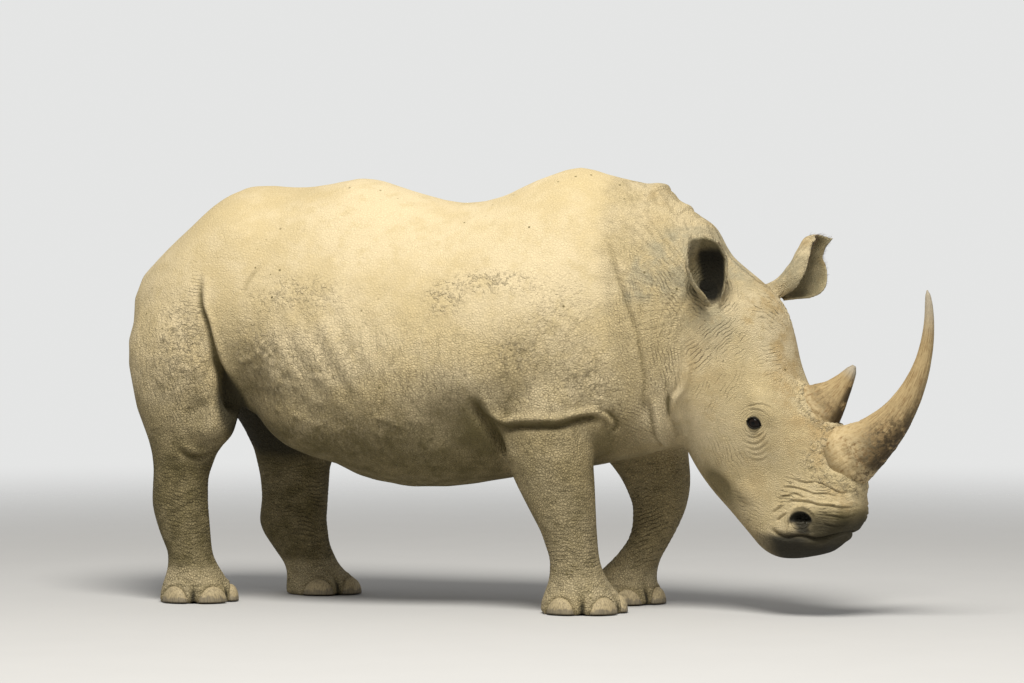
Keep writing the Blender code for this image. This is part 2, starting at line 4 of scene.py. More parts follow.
import bmesh
import bpy
import numpy as np
from bpy.props import FloatProperty, FloatVectorProperty, IntProperty, PointerProperty
from mathutils import Matrix, Vector
from mathutils.kdtree import KDTree


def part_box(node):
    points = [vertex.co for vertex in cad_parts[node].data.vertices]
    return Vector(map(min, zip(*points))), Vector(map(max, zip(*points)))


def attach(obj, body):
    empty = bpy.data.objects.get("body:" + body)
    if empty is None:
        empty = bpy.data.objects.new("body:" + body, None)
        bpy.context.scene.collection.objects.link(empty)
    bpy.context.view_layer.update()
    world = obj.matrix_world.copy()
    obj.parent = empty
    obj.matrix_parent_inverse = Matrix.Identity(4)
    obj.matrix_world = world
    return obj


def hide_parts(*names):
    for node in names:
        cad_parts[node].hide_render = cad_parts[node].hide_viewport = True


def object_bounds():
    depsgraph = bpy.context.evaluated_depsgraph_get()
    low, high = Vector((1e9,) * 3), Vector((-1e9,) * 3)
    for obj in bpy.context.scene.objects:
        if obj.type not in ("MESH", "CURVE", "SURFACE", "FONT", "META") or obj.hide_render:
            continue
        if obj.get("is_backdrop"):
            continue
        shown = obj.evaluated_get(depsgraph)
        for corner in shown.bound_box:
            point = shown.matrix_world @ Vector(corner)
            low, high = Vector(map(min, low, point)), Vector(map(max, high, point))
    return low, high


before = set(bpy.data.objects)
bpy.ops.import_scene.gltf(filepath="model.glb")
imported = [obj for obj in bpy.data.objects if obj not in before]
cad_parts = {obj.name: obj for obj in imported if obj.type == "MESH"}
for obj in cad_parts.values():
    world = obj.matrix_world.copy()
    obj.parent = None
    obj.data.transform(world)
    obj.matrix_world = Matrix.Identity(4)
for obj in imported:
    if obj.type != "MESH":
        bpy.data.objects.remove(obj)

bl_info = {
    "name": "White Rhinoceros Model",
    "version": (1, 0, 0),
    "blender": (4, 5, 0),
    "location": "3D View > Sidebar > Rhinoceros",
    "description": "Hide, eyes, horns, toenails and hair of a life-size still white rhinoceros",
    "category": "Add Mesh",
}

CAD_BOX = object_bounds()

# ---------------------------------------------------------------------------
# Places, in metres: +X to the head, +Y to the animal's left, +Z up
# ---------------------------------------------------------------------------
HEAD_PIVOT = (0.7374, -0.0002, 1.30)  # the joint of head and neck
HEAD_FRAME = (
    Matrix.Translation(HEAD_PIVOT)
    @ Matrix.Rotation(math.radians(-12), 4, "Z")  # turned a little to its right
    @ Matrix.Rotation(math.radians(52), 4, "Y")  # nose down
)
HEAD_LEVEL = (0.616, 0, 0.788)  # level and forward, in the head's own frame
HEAD_DOWN = (0.788, 0, -0.616)
HEADING = (0.978, -0.208)  # level and forward, on the floor's plan
CROWN, CROWN_REACH = (0.1, 0, 0), 0.35  # back of the head with both ears
WELD = 1e-5
FLESH = sorted(
    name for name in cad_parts
    if not any(word in name for word in ("horn", "nail", "eye", "tuft", "ear_"))
)
EAR_NODES = ("ear_left", "ear_right")
EYE_NODES = ("eye_left", "eye_right")
NAIL_NODES = sorted(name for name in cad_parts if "_nail_" in name)


def head_point(place):
    """A place given along, aside and above the head's own axis."""
    return HEAD_FRAME @ Vector(place)


def middle_of(node):
    low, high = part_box(node)
    return (low + high) / 2


# ---------------------------------------------------------------------------
# Settings
# ---------------------------------------------------------------------------
def length(name, description, default, **more):
    return FloatProperty(
        name=name, description=description, default=default, unit="LENGTH", precision=4, **more
    )


def colour(name, description, default):
    return FloatVectorProperty(
        name=name, description=description, default=default, subtype="COLOR", min=0.0, max=1.0
    )


def count(name, description, default):
    return IntProperty(name=name, description=description, default=default, min=1)


class HideSettings(bpy.types.PropertyGroup):
    form_cell: length("Form cell", "Cell of the grid that fuses the flesh", 0.011)
    skin_cell: length("Skin cell", "Cell of the grid that the skin is sculpted on", 0.006)
    body_triangles: count("Body triangles", "Triangles kept on trunk and legs", 90000)
    head_triangles: count("Head triangles", "Triangles kept on head and neck", 106000)
    fold_depth: FloatProperty(name="Fold depth", description="Depth of the large folds", default=1.0)
    wrinkle_depth: FloatProperty(
        name="Wrinkle depth", description="Depth of the modelled wrinkles", default=1.0
    )
    dust: colour("Dust", "Dry pale dust on the hide", (0.620, 0.505, 0.305))
    mud: colour("Mud", "Dried tan mud", (0.540, 0.425, 0.225))
    bare: colour("Bare hide", "Grey hide where the dust is rubbed off", (0.400, 0.350, 0.225))
    # This colour is real dirt on mud and specks, and painted shade in hollows, under the belly and down
    # the legs
    dirt_and_shade: colour("Dirt", "Brown dirt in folds and on the belly", (0.125, 0.100, 0.040))
    rust: colour("Rust", "Orange-brown stains", (0.450, 0.320, 0.150))
    soil: colour("Soil", "Dark soil in the cracks", (0.048, 0.038, 0.015))
    # Dark skin, also used as painted shadow in the groin, inside the ears, in the toe grooves and under
    # the chin
    dark: colour("Dark skin", "Lips, nostrils, lids and the inside of the ears", (0.020, 0.018, 0.012))


class EyeSettings(bpy.types.PropertyGroup):
    lid_width: length("Opening width", "Half the width of the opening between the lids", 0.0295)
    lid_height: length("Opening height", "Half its height", 0.0185)
    iris: colour("Iris", "Colour of the iris", (0.006, 0.004, 0.003))
    lash_length: length("Lash length", "Length of an upper lash", 0.016)
    lashes: count("Lashes", "Lashes on each upper lid", 34)


class HornSettings(bpy.types.PropertyGroup):
    sides: count("Sides", "Faces round a horn", 96)
    rings: count("Rings", "Rings along a horn", 150)
    fibre_depth: length("Fibre depth", "Depth of the grooves between fibres", 0.0012)
    pale: colour("Pale horn", "Dusty worn horn", (0.440, 0.325, 0.160))
    brown: colour("Brown horn", "Fresh horn and soil on it", (0.215, 0.130, 0.050))
    dust: colour("Dust", "Dust on the foot of a horn", (0.500, 0.385, 0.205))
    soil: colour("Soil", "Dark soil in the pits of the base", (0.045, 0.030, 0.012))


class NailSettings(bpy.types.PropertyGroup):
    ridge_depth: length("Ridge depth", "Depth of the ridges down a nail", 0.0008)
    pale: colour("Dusty nail", "Dust on a nail", (0.420, 0.335, 0.190))
    brown: colour("Bare nail", "Grey worn edge of a nail", (0.085, 0.076, 0.066))


class HairSettings(bpy.types.PropertyGroup):
    tail_strands: count("Tail bristles", "Bristles in the tail's tuft", 420)
    ear_strands: count("Ear hairs", "Hairs on the rim of each ear", 300)
    ear_length: length("Ear hair length", "Length of the hairs at an ear's tip", 0.022)
    thickness: length("Thickness", "Thickness of a bristle at its root", 0.0014)
    black: colour("Black hair", "Colour of the bristles", (0.020, 0.016, 0.012))
    russet: colour("Russet hair", "Sun-bleached ends of the ear hairs", (0.200, 0.100, 0.036))


FLOOR_RADIUS = 34
LAMP_SIZE, LAMP_PLACE, LAMP_AIM = 5.0, (1.8, -5.4, 9.6), Vector((0.2, 0, 0.8))


class StageSettings(bpy.types.PropertyGroup):
    floor: colour("Floor", "Colour of the floor", (0.500, 0.490, 0.470))
    backdrop: colour("Backdrop", "Colour behind the floor", (0.780, 0.785, 0.780))
    surround: FloatProperty(name="Surround", description="Strength of the light all round", default=0.46)
    key: FloatProperty(name="Key light", description="Power of the light overhead", default=1500.0)
    camera: FloatVectorProperty(
        name="Camera", description="Where the camera stands", default=(5.752, -15.975, 1.45),
        subtype="TRANSLATION", unit="LENGTH",
    )
    pitch: FloatProperty(
        name="Camera pitch", description="How far the camera looks below the horizon",
        default=math.radians(1.443), subtype="ANGLE", unit="ROTATION",
    )
    heading: FloatProperty(
        name="Camera heading", description="How far the camera is turned from square to the trunk",
        default=math.radians(20), subtype="ANGLE", unit="ROTATION",
    )
    lens: FloatProperty(name="Lens", description="Focal length in millimetres", default=154.2)


# ---------------------------------------------------------------------------
# Finishes
# ---------------------------------------------------------------------------
# Colours of small things that no setting carries.
IRIS_STREAK, EYE_WHITE, PUPIL = (0.012, 0.007, 0.004), (0.010, 0.008, 0.007), (0.002, 0.002, 0.002)
HORN_TIP, NAIL_LOW_TONE, BRISTLE_END = (0.42, 0.385, 0.31), (0.040, 0.030, 0.016), (0.055, 0.040, 0.026)


class Finish:
    """A procedural material, put together node by node."""

    def __init__(self, name, settings):
        self.material = bpy.data.materials.new(name)
        self.material.use_nodes = True
        self.tree = self.material.node_tree
        self.shader = self.tree.nodes["Principled BSDF"]
        for socket, value in settings.items():
            self.shader.inputs[socket].default_value = value
        self.place = self.add("TexCoord").outputs["Object"]
        self.tone = None

    def add(self, kind, inputs=None, **settings):
        node = self.tree.nodes.new("ShaderNode" + kind)
        for key, value in settings.items():
            setattr(node, key, value)
        for socket, value in (inputs or {}).items():
            self.feed(node.inputs[socket], value)
        return node

    def feed(self, socket, value):
        if isinstance(value, bpy.types.NodeSocket):
            self.tree.links.new(value, socket)
        elif socket.type == "RGBA" and not isinstance(value, float):
            socket.default_value = (*value, 1.0)[:4]
        else:
            socket.default_value = value

    def reach(self, name):
        """A value stored on the mesh."""
        return self.add("Attribute", attribute_name=name).outputs["Fac"]

    def vector(self, name):
        return self.add("Attribute", attribute_name=name).outputs["Vector"]

    def scaled(self, vector, scale):
        return self.add("Mapping", {"Vector": vector, "Scale": scale}).outputs["Vector"]

    def noise(self, vector, scale, detail=3.0, roughness=0.55):
        return self.add("TexNoise", {
            "Vector": vector, "Scale": scale, "Detail": detail, "Roughness": roughness,
        }).outputs["Fac"]

    def warped(self, vector, scale, amount):
        """A vector pushed about by soft noise."""
        noise = self.add("TexNoise", {"Vector": vector, "Scale": scale, "Detail": 2.0})
        centred = self.add(
            "VectorMath", {0: noise.outputs["Color"], 1: (0.5, 0.5, 0.5)}, operation="SUBTRACT"
        ).outputs[0]
        pushed = self.add(
            "VectorMath", {0: centred, 1: (amount,) * 3, 2: vector}, operation="MULTIPLY_ADD"
        )
        return pushed.outputs[0]

    def cells(self, vector, scale, feature="F1"):
        return self.add(
            "TexVoronoi", {"Vector": vector, "Scale": scale}, feature=feature
        ).outputs["Distance"]

    def cracks(self, vector, scale, width):
        """0 in the gaps between cells, rising to 1 on them."""
        return self.step(self.cells(vector, scale, "DISTANCE_TO_EDGE"), 0.0, width)

    def maths(self, operation, first, second=0.0, third=0.0):
        return self.add("Math", {0: first, 1: second, 2: third}, operation=operation).outputs[0]

    def times(self, *factors):
        product = factors[0]
        for factor in factors[1:]:
            product = self.maths("MULTIPLY", product, factor)
        return product

    def total(self, *terms):
        result = terms[0]
        for term in terms[1:]:
            result = self.maths("ADD", result, term)
        return result

    def step(self, value, low, high, start=0.0, end=1.0):
        """A soft step of the value between low and high."""
        return self.add("MapRange", {
            "Value": value, "From Min": low, "From Max": high, "To Min": start, "To Max": end,
        }, interpolation_type="SMOOTHSTEP").outputs["Result"]

    def mixed(self, first, second, factor):
        node = self.add("Mix", data_type="RGBA")
        self.feed(node.inputs[0], factor)
        self.feed(node.inputs[6], first)
        self.feed(node.inputs[7], second)
        return node.outputs[2]

    def coat(self, colour, *factors):
        """Lays a colour over the tone so far, by the product of the factors."""
        self.tone = self.mixed(self.tone, colour, self.times(*factors))

    def relief(self, *heights):
        """The total of heights in metres, given to the shader as bumps."""
        bump = self.add("Bump", {"Height": self.total(*heights), "Strength": 1.0, "Distance": 1.0})
        self.feed(self.shader.inputs["Normal"], bump.outputs["Normal"])

    def paint(self, roughness=None):
        self.feed(self.shader.inputs["Base Color"], self.tone)
        if roughness is not None:
            self.feed(self.shader.inputs["Roughness"], roughness)
        return self.material


def hide_finish(look):
    """Tan dust and dried mud over grey hide, pebbled, with fine wrinkles and painted shade."""
    hide = Finish("dusty_hide", {"Specular IOR Level": 0.20, "Roughness": 0.88})
    place = hide.warped(hide.place, 9.0, 0.035)
    tall_place = hide.scaled(hide.warped(hide.place, 5.0, 0.05), (1.0, 1.0, 0.28))
    flat_place = hide.scaled(hide.warped(hide.place, 7.0, 0.04), (0.30, 0.30, 1.0))
    pebbles = hide.cracks(place, 98.0, 0.26)
    scales = hide.cracks(place, 150.0, 0.30)
    plates = hide.cracks(place, 34.0, 0.16)
    grains = hide.noise(hide.place, 150.0, 3.0, 0.6)
    tall = hide.noise(tall_place, 62.0, 3.0, 0.6)
    flat = hide.noise(flat_place, 72.0, 3.0, 0.6)
    fan = hide.noise(hide.vector("fan"), 1.0)
    crumbs = hide.step(hide.noise(place, 52.0, 4.0, 0.62), 0.50, 0.66)

    wander = hide.maths("MULTIPLY_ADD", hide.noise(hide.place, 26.0, 3.0, 0.6), 1.7, hide.reach("wave"))
    crest = hide.maths("ABSOLUTE", hide.maths("SINE", hide.maths("MULTIPLY", wander, math.pi)))
    broken = hide.step(hide.noise(hide.place, 19.0), 0.40, 0.58, 0.10, 1.0)
    furrow = hide.times(hide.step(crest, 0.0, 0.50, 1.0, 0.0), hide.reach("furrow"), broken)
    pebbled, fine, mud = hide.reach("pebbled"), hide.reach("fine"), hide.reach("mud")
    tallness, flatness, fanned = hide.reach("upright"), hide.reach("level"), hide.reach("fanned")
    hide.relief(
        hide.times(pebbles, pebbled, 0.0028), hide.times(scales, fine, 0.0020),
        hide.times(plates, pebbled, 0.0016), hide.times(tall, tallness, 0.0170),
        hide.times(flat, flatness, 0.0150), hide.times(fan, fanned, 0.0110),
        hide.times(crumbs, mud, 0.0080), hide.times(furrow, -0.0050), hide.times(grains, 0.0018),
    )

    clouds = hide.noise(hide.place, 2.6, 4.0, 0.6)
    blotches = hide.noise(hide.place, 14.0, 4.0, 0.62)
    speckle = hide.noise(hide.place, 95.0, 3.0, 0.6)
    rust = hide.noise(hide.place, 7.0, 5.0, 0.66)
    hide.tone = hide.mixed(look.mud, look.dust, hide.step(clouds, 0.36, 0.60))
    hide.coat(look.mud, hide.step(blotches, 0.50, 0.66), 0.6)
    hide.coat(look.bare, hide.reach("grey"), hide.step(blotches, 0.30, 0.62))
    hide.coat(look.dust, hide.step(speckle, 0.52, 0.72), 0.45)
    hide.coat(look.rust, hide.step(rust, 0.46, 0.68), hide.reach("rust"), 0.85)
    # painted shade under the belly, low on the trunk, down the legs, under the jaw and on the lips'
    # front
    hide.coat(look.dirt_and_shade, hide.reach("shade"), hide.step(blotches, 0.20, 0.75, 0.70, 1.0))
    cracks = hide.total(
        hide.times(hide.maths("SUBTRACT", 1.0, pebbles), pebbled, 0.34),
        hide.times(hide.maths("SUBTRACT", 1.0, scales), fine, 0.16),
        hide.times(hide.step(tall, 0.36, 0.50, 1.0, 0.0), tallness, 0.26),
        hide.times(hide.step(flat, 0.36, 0.50, 1.0, 0.0), flatness, 0.40),
        hide.times(hide.step(fan, 0.36, 0.50, 1.0, 0.0), fanned, 0.22),
        hide.times(hide.step(grains, 0.34, 0.46, 1.0, 0.0), 0.10),
        hide.times(furrow, 0.48),
    )
    hide.coat(look.soil, hide.maths("MINIMUM", cracks, 0.65))
    # painted shade in hollows and creases, inside the ears, in the groin and between the toes
    hide.coat(look.dirt_and_shade, hide.reach("hollow"), 0.90)
    hide.coat(look.dirt_and_shade, mud, hide.step(hide.noise(place, 66.0, 3.0, 0.6), 0.59, 0.66), 0.70)
    hide.coat(look.dust, mud, crumbs, 0.55)
    specks = hide.step(hide.cells(hide.place, 21.0), 0.07, 0.13, 1.0, 0.0)
    hide.coat(look.dirt_and_shade, specks, hide.step(hide.noise(hide.place, 3.3, 2.0), 0.52, 0.62), 0.85)
    # dark skin, with painted shadow in the groin, inside the ears, round the nostrils, on the lips and
    # in the toe grooves
    hide.coat(look.dark, hide.reach("dark"))
    dull = hide.step(speckle, 0.3, 0.7, 0.82, 0.94)
    return hide.paint(hide.maths("SUBTRACT", dull, hide.times(hide.reach("wet"), 0.60)))


def eye_finish(look):
    """A wet, very dark brown eye with a black pupil."""
    eye = Finish("wet_eye", {"Roughness": 0.05, "Specular IOR Level": 0.14})
    gaze = eye.reach("gaze")
    streaks = eye.step(eye.noise(eye.place, 900.0), 0.35, 0.75)
    eye.tone = eye.mixed(look.iris, IRIS_STREAK, streaks)
    eye.coat(EYE_WHITE, eye.step(gaze, 0.62, 0.72))
    eye.tone = eye.mixed(PUPIL, eye.tone, eye.step(gaze, 0.24, 0.29))
    return eye.paint()


def horn_finish(look):
    """Fibrous horn: pale dust over brown, with dark soil caught round the base."""
    horn = Finish("fibrous_horn", {"Specular IOR Level": 0.28, "Roughness": 0.7})
    fibre = horn.vector("fibre")
    strands = horn.noise(horn.scaled(fibre, (11.0, 11.0, 1.3)), 1.0, 4.0, 0.65)
    fine = horn.noise(horn.scaled(fibre, (36.0, 36.0, 4.0)), 1.0, 3.0, 0.6)
    patches = horn.noise(horn.place, 24.0, 4.0, 0.65)
    pits = horn.noise(horn.place, 70.0, 4.0, 0.65)
    soiled = horn.reach("soiled")
    horn.relief(
        horn.times(strands, 0.0030), horn.times(fine, 0.0012),
        horn.times(pits, horn.maths("MULTIPLY_ADD", soiled, 0.0050, 0.0008)),
    )
    horn.tone = horn.mixed(look.brown, look.pale, horn.step(strands, 0.34, 0.58))
    horn.coat(look.pale, horn.step(patches, 0.42, 0.62), 0.75)
    horn.coat(look.brown, horn.step(fine, 0.50, 0.70), 0.5)
    stained = horn.mixed(look.soil, look.brown, 0.55)
    horn.coat(stained, soiled, horn.step(patches, 0.28, 0.58), 0.85)
    horn.coat(look.soil, soiled, horn.step(pits, 0.44, 0.58), horn.step(patches, 0.32, 0.50))
    horn.coat(look.soil, horn.reach("front_edge"), horn.step(patches, 0.32, 0.52), 0.95)
    horn.coat(look.dust, horn.reach("dusted"), horn.step(pits, 0.40, 0.56), 0.80)
    horn.coat(HORN_TIP, horn.reach("paled"), 0.65)
    return horn.paint(horn.step(strands, 0.3, 0.7, 0.62, 0.82))


def nail_finish(look):
    """Dull, dusty nail with ridges running down it and a pale worn edge."""
    nail = Finish("worn_nail", {"Specular IOR Level": 0.3, "Roughness": 0.62})
    ridges = nail.noise(nail.scaled(nail.place, (1.0, 1.0, 0.12)), 240.0, 3.0, 0.6)
    stains = nail.noise(nail.place, 38.0, 4.0, 0.6)
    height = nail.add("SeparateXYZ", {0: nail.place}).outputs["Z"]
    nail.relief(nail.times(ridges, 0.0022))
    edge = nail.maths("MULTIPLY_ADD", stains, -0.05, height)
    nail.tone = nail.mixed(look.pale, [c * 0.62 for c in look.pale], nail.step(ridges, 0.42, 0.62))
    nail.coat(look.brown, nail.step(edge, 0.004, -0.006, 0.0, 0.55))
    # darker towards the bottom of each nail
    nail.coat(NAIL_LOW_TONE, nail.step(height, 0.010, 0.002, 0.0, 0.8))
    return nail.paint(nail.step(stains, 0.3, 0.7, 0.55, 0.78))


def hair_finish(name, look, ends):
    """Coarse hair, black with lighter ends where tip is high."""
    hair = Finish(name, {"Specular IOR Level": 0.4, "Roughness": 0.5})
    mottle = hair.noise(hair.place, 130.0, 2.0)
    hair.tone = hair.mixed(look.black, ends, hair.times(hair.reach("tip"), hair.step(mottle, 0.3, 0.6)))
    return hair.paint(hair.step(mottle, 0.3, 0.7, 0.42, 0.6))


def floor_finish(look):
    """A plain pale floor that thins out far from the model."""
    floor = Finish("studio_floor", {"Roughness": 0.9, "Specular IOR Level": 0.1})
    away = floor.add("VectorMath", {0: floor.place}, operation="LENGTH").outputs["Value"]
    grain = floor.noise(floor.place, 3.0, 4.0)
    floor.tone = floor.mixed(look.floor, [c * 0.96 for c in look.floor], grain)
    floor.feed(floor.shader.inputs["Alpha"], floor.step(away, 3.2, 11.0, 1.0, 0.0))
    return floor.paint()


# ---------------------------------------------------------------------------
# Meshes as arrays of places
# ---------------------------------------------------------------------------
def places_of(mesh):
    places = np.empty(len(mesh.vertices) * 3)
    mesh.vertices.foreach_get("co", places)
    return places.reshape(-1, 3)


def normals_of(mesh):
    normals = np.empty(len(mesh.vertices) * 3)
    mesh.vertex_normals.foreach_get("vector", normals)
    return normals.reshape(-1, 3)


def put(mesh, places):
    mesh.vertices.foreach_set("co", np.ascontiguousarray(places, np.float32).ravel())
    mesh.update()


def store(mesh, name, values):
    attribute = mesh.attributes.new(name, "FLOAT", "POINT")
    attribute.data.foreach_set("value", np.ascontiguousarray(values, np.float32))


def stored(mesh, name):
    values = np.empty(len(mesh.vertices), np.float32)
    mesh.attributes[name].data.foreach_get("value", values)
    return values


class Web:
    """Which points of a mesh are neighbours."""

    def __init__(self, mesh):
        ends = np.empty(len(mesh.edges) * 2, np.int32)
        mesh.edges.foreach_get("vertices", ends)
        self.one, self.other = ends.reshape(-1, 2).T
        self.size = len(mesh.vertices)
        self.links = np.maximum(
            np.bincount(self.one, minlength=self.size) + np.bincount(self.other, minlength=self.size), 1
        )

    def mean(self, values):
        """Each point's mean of its neighbours' values."""
        if values.ndim == 2:
            return np.stack([self.mean(column) for column in values.T], axis=1)
        total = np.bincount(self.one, values[self.other], self.size)
        total += np.bincount(self.other, values[self.one], self.size)
        return total / self.links

    def soften(self, values, rounds, amount=0.5):
        for _ in range(rounds):
            values = values + (self.mean(values) - values) * amount
        return values

    def calm(self, places, rounds, back=-0.52):
        """Smooths facets away and keeps the volume."""
        for _ in range(rounds):
            places = places + (self.mean(places) - places) * 0.5
            places = places + (self.mean(places) - places) * back
        return places


def lattice_noise(places, cell, seed):
    """Soft noise from -1 to 1 whose bumps are about one cell across."""
    grid = places / cell + seed * 7.31
    corner = np.floor(grid).astype(np.int64)
    part = grid - corner
    part = part * part * (3 - 2 * part)
    result = np.zeros(len(places))
    for dx in (0, 1):
        for dy in (0, 1):
            for dz in (0, 1):
                key = (
                    (corner[:, 0] + dx) * 73856093 ^ (corner[:, 1] + dy) * 19349663
                    ^ (corner[:, 2] + dz) * 83492791 ^ seed * 265443576
                ) & 0x7FFFFFFF
                key = ((key ^ (key >> 15)) * 73244475) & 0x7FFFFFFF
                key = ((key ^ (key >> 13)) * 19990303) & 0x7FFFFFFF
                value = ((key ^ (key >> 16)) & 0xFFFF) / 32767.5 - 1
                weight = (
                    (part[:, 0] if dx else 1 - part[:, 0])
                    * (part[:, 1] if dy else 1 - part[:, 1])
                    * (part[:, 2] if dz else 1 - part[:, 2])
                )
                result += value * weight
    return result


def layered_noise(places, cell, seed, layers=3):
    result = np.zeros(len(places))
    for layer in range(layers):
        result += lattice_noise(places, cell / 2**layer, seed + layer) / 2**layer
    return result / (2 - 2.0 ** (1 - layers))


def smooth_step(values, low, high):
    part = np.clip((values - low) / (high - low), 0, 1)
    return part * part * (3 - 2 * part)


def deepen(marks, name, values, which=slice(None)):
    """Raises a mark to these values where they are higher."""
    marks[name][which] = np.maximum(marks[name][which], values)


def near(places, centre, reach):
    """1 at a place, falling softly to 0 at its reach."""
    away = (places - np.array(centre)) / np.array(reach)
    return np.clip(1 - np.sum(away * away, axis=1), 0, 1) ** 2


def curve_through(points, step=0.008):
    """Even points on a smooth curve through a few."""
    points = np.array(points, float)
    ends = np.vstack([2 * points[0] - points[1], points, 2 * points[-1] - points[-2]])
    fine = []
    for a, b, c, d in zip(ends, ends[1:], ends[2:], ends[3:]):
        for t in np.linspace(0, 1, 24, endpoint=False):
            fine.append(0.5 * (
                2 * b + (c - a) * t + (2 * a - 5 * b + 4 * c - d) * t**2 + (3 * b - a - 3 * c + d) * t**3
            ))
    fine.append(points[-1])
    fine = np.array(fine)
    run = np.concatenate([[0], np.cumsum(np.linalg.norm(np.diff(fine, axis=0), axis=1))])
    marks = np.linspace(0, run[-1], max(int(run[-1] / step), 4) + 1)
    return np.stack([np.interp(marks, run, fine[:, k]) for k in range(3)], axis=1)


def from_line(places, normals, line, reach):
    """Which places lie near a line on the skin, how far to its side, and their share of its length."""
    low, high = line.min(0) - reach, line.max(0) + reach
    close = np.flatnonzero(np.all((places > low) & (places < high), axis=1))
    spots, facing = places[close], normals[close]
    best = np.full(len(close), 1e9)
    signed = np.zeros(len(close))
    along = np.zeros(len(close))
    for k, (start, end) in enumerate(zip(line, line[1:])):
        run = end - start
        reached = np.clip(((spots - start) @ run) / (run @ run), 0, 1)
        offset = spots - start - reached[:, None] * run
        gap = np.sqrt(np.sum(offset * offset, axis=1))
        better = gap < best
        if not better.any():
            continue
        across = np.cross(run, facing[better])
        best[better] = gap[better]
        signed[better] = gap[better] * np.sign(np.sum(offset[better] * across, axis=1))
        along[better] = (k + reached[better]) / (len(line) - 1)
    kept = best < reach
    return close[kept], signed[kept], along[kept]


# ---------------------------------------------------------------------------
# What is modelled on the hide
# ---------------------------------------------------------------------------
# A fold is a groove with a roll of skin on one side. where is "body" or "head": the frame of its
# points, given for the right side. A fold of which sides is 1 is not mirrored.
Fold = namedtuple("Fold", "where points width depth roll sides start end")


def fold(where, points, width, depth, roll=0.0, sides=2, start=0.25, end=0.25):
    return Fold(where, points, width, depth, roll, sides, start, end)


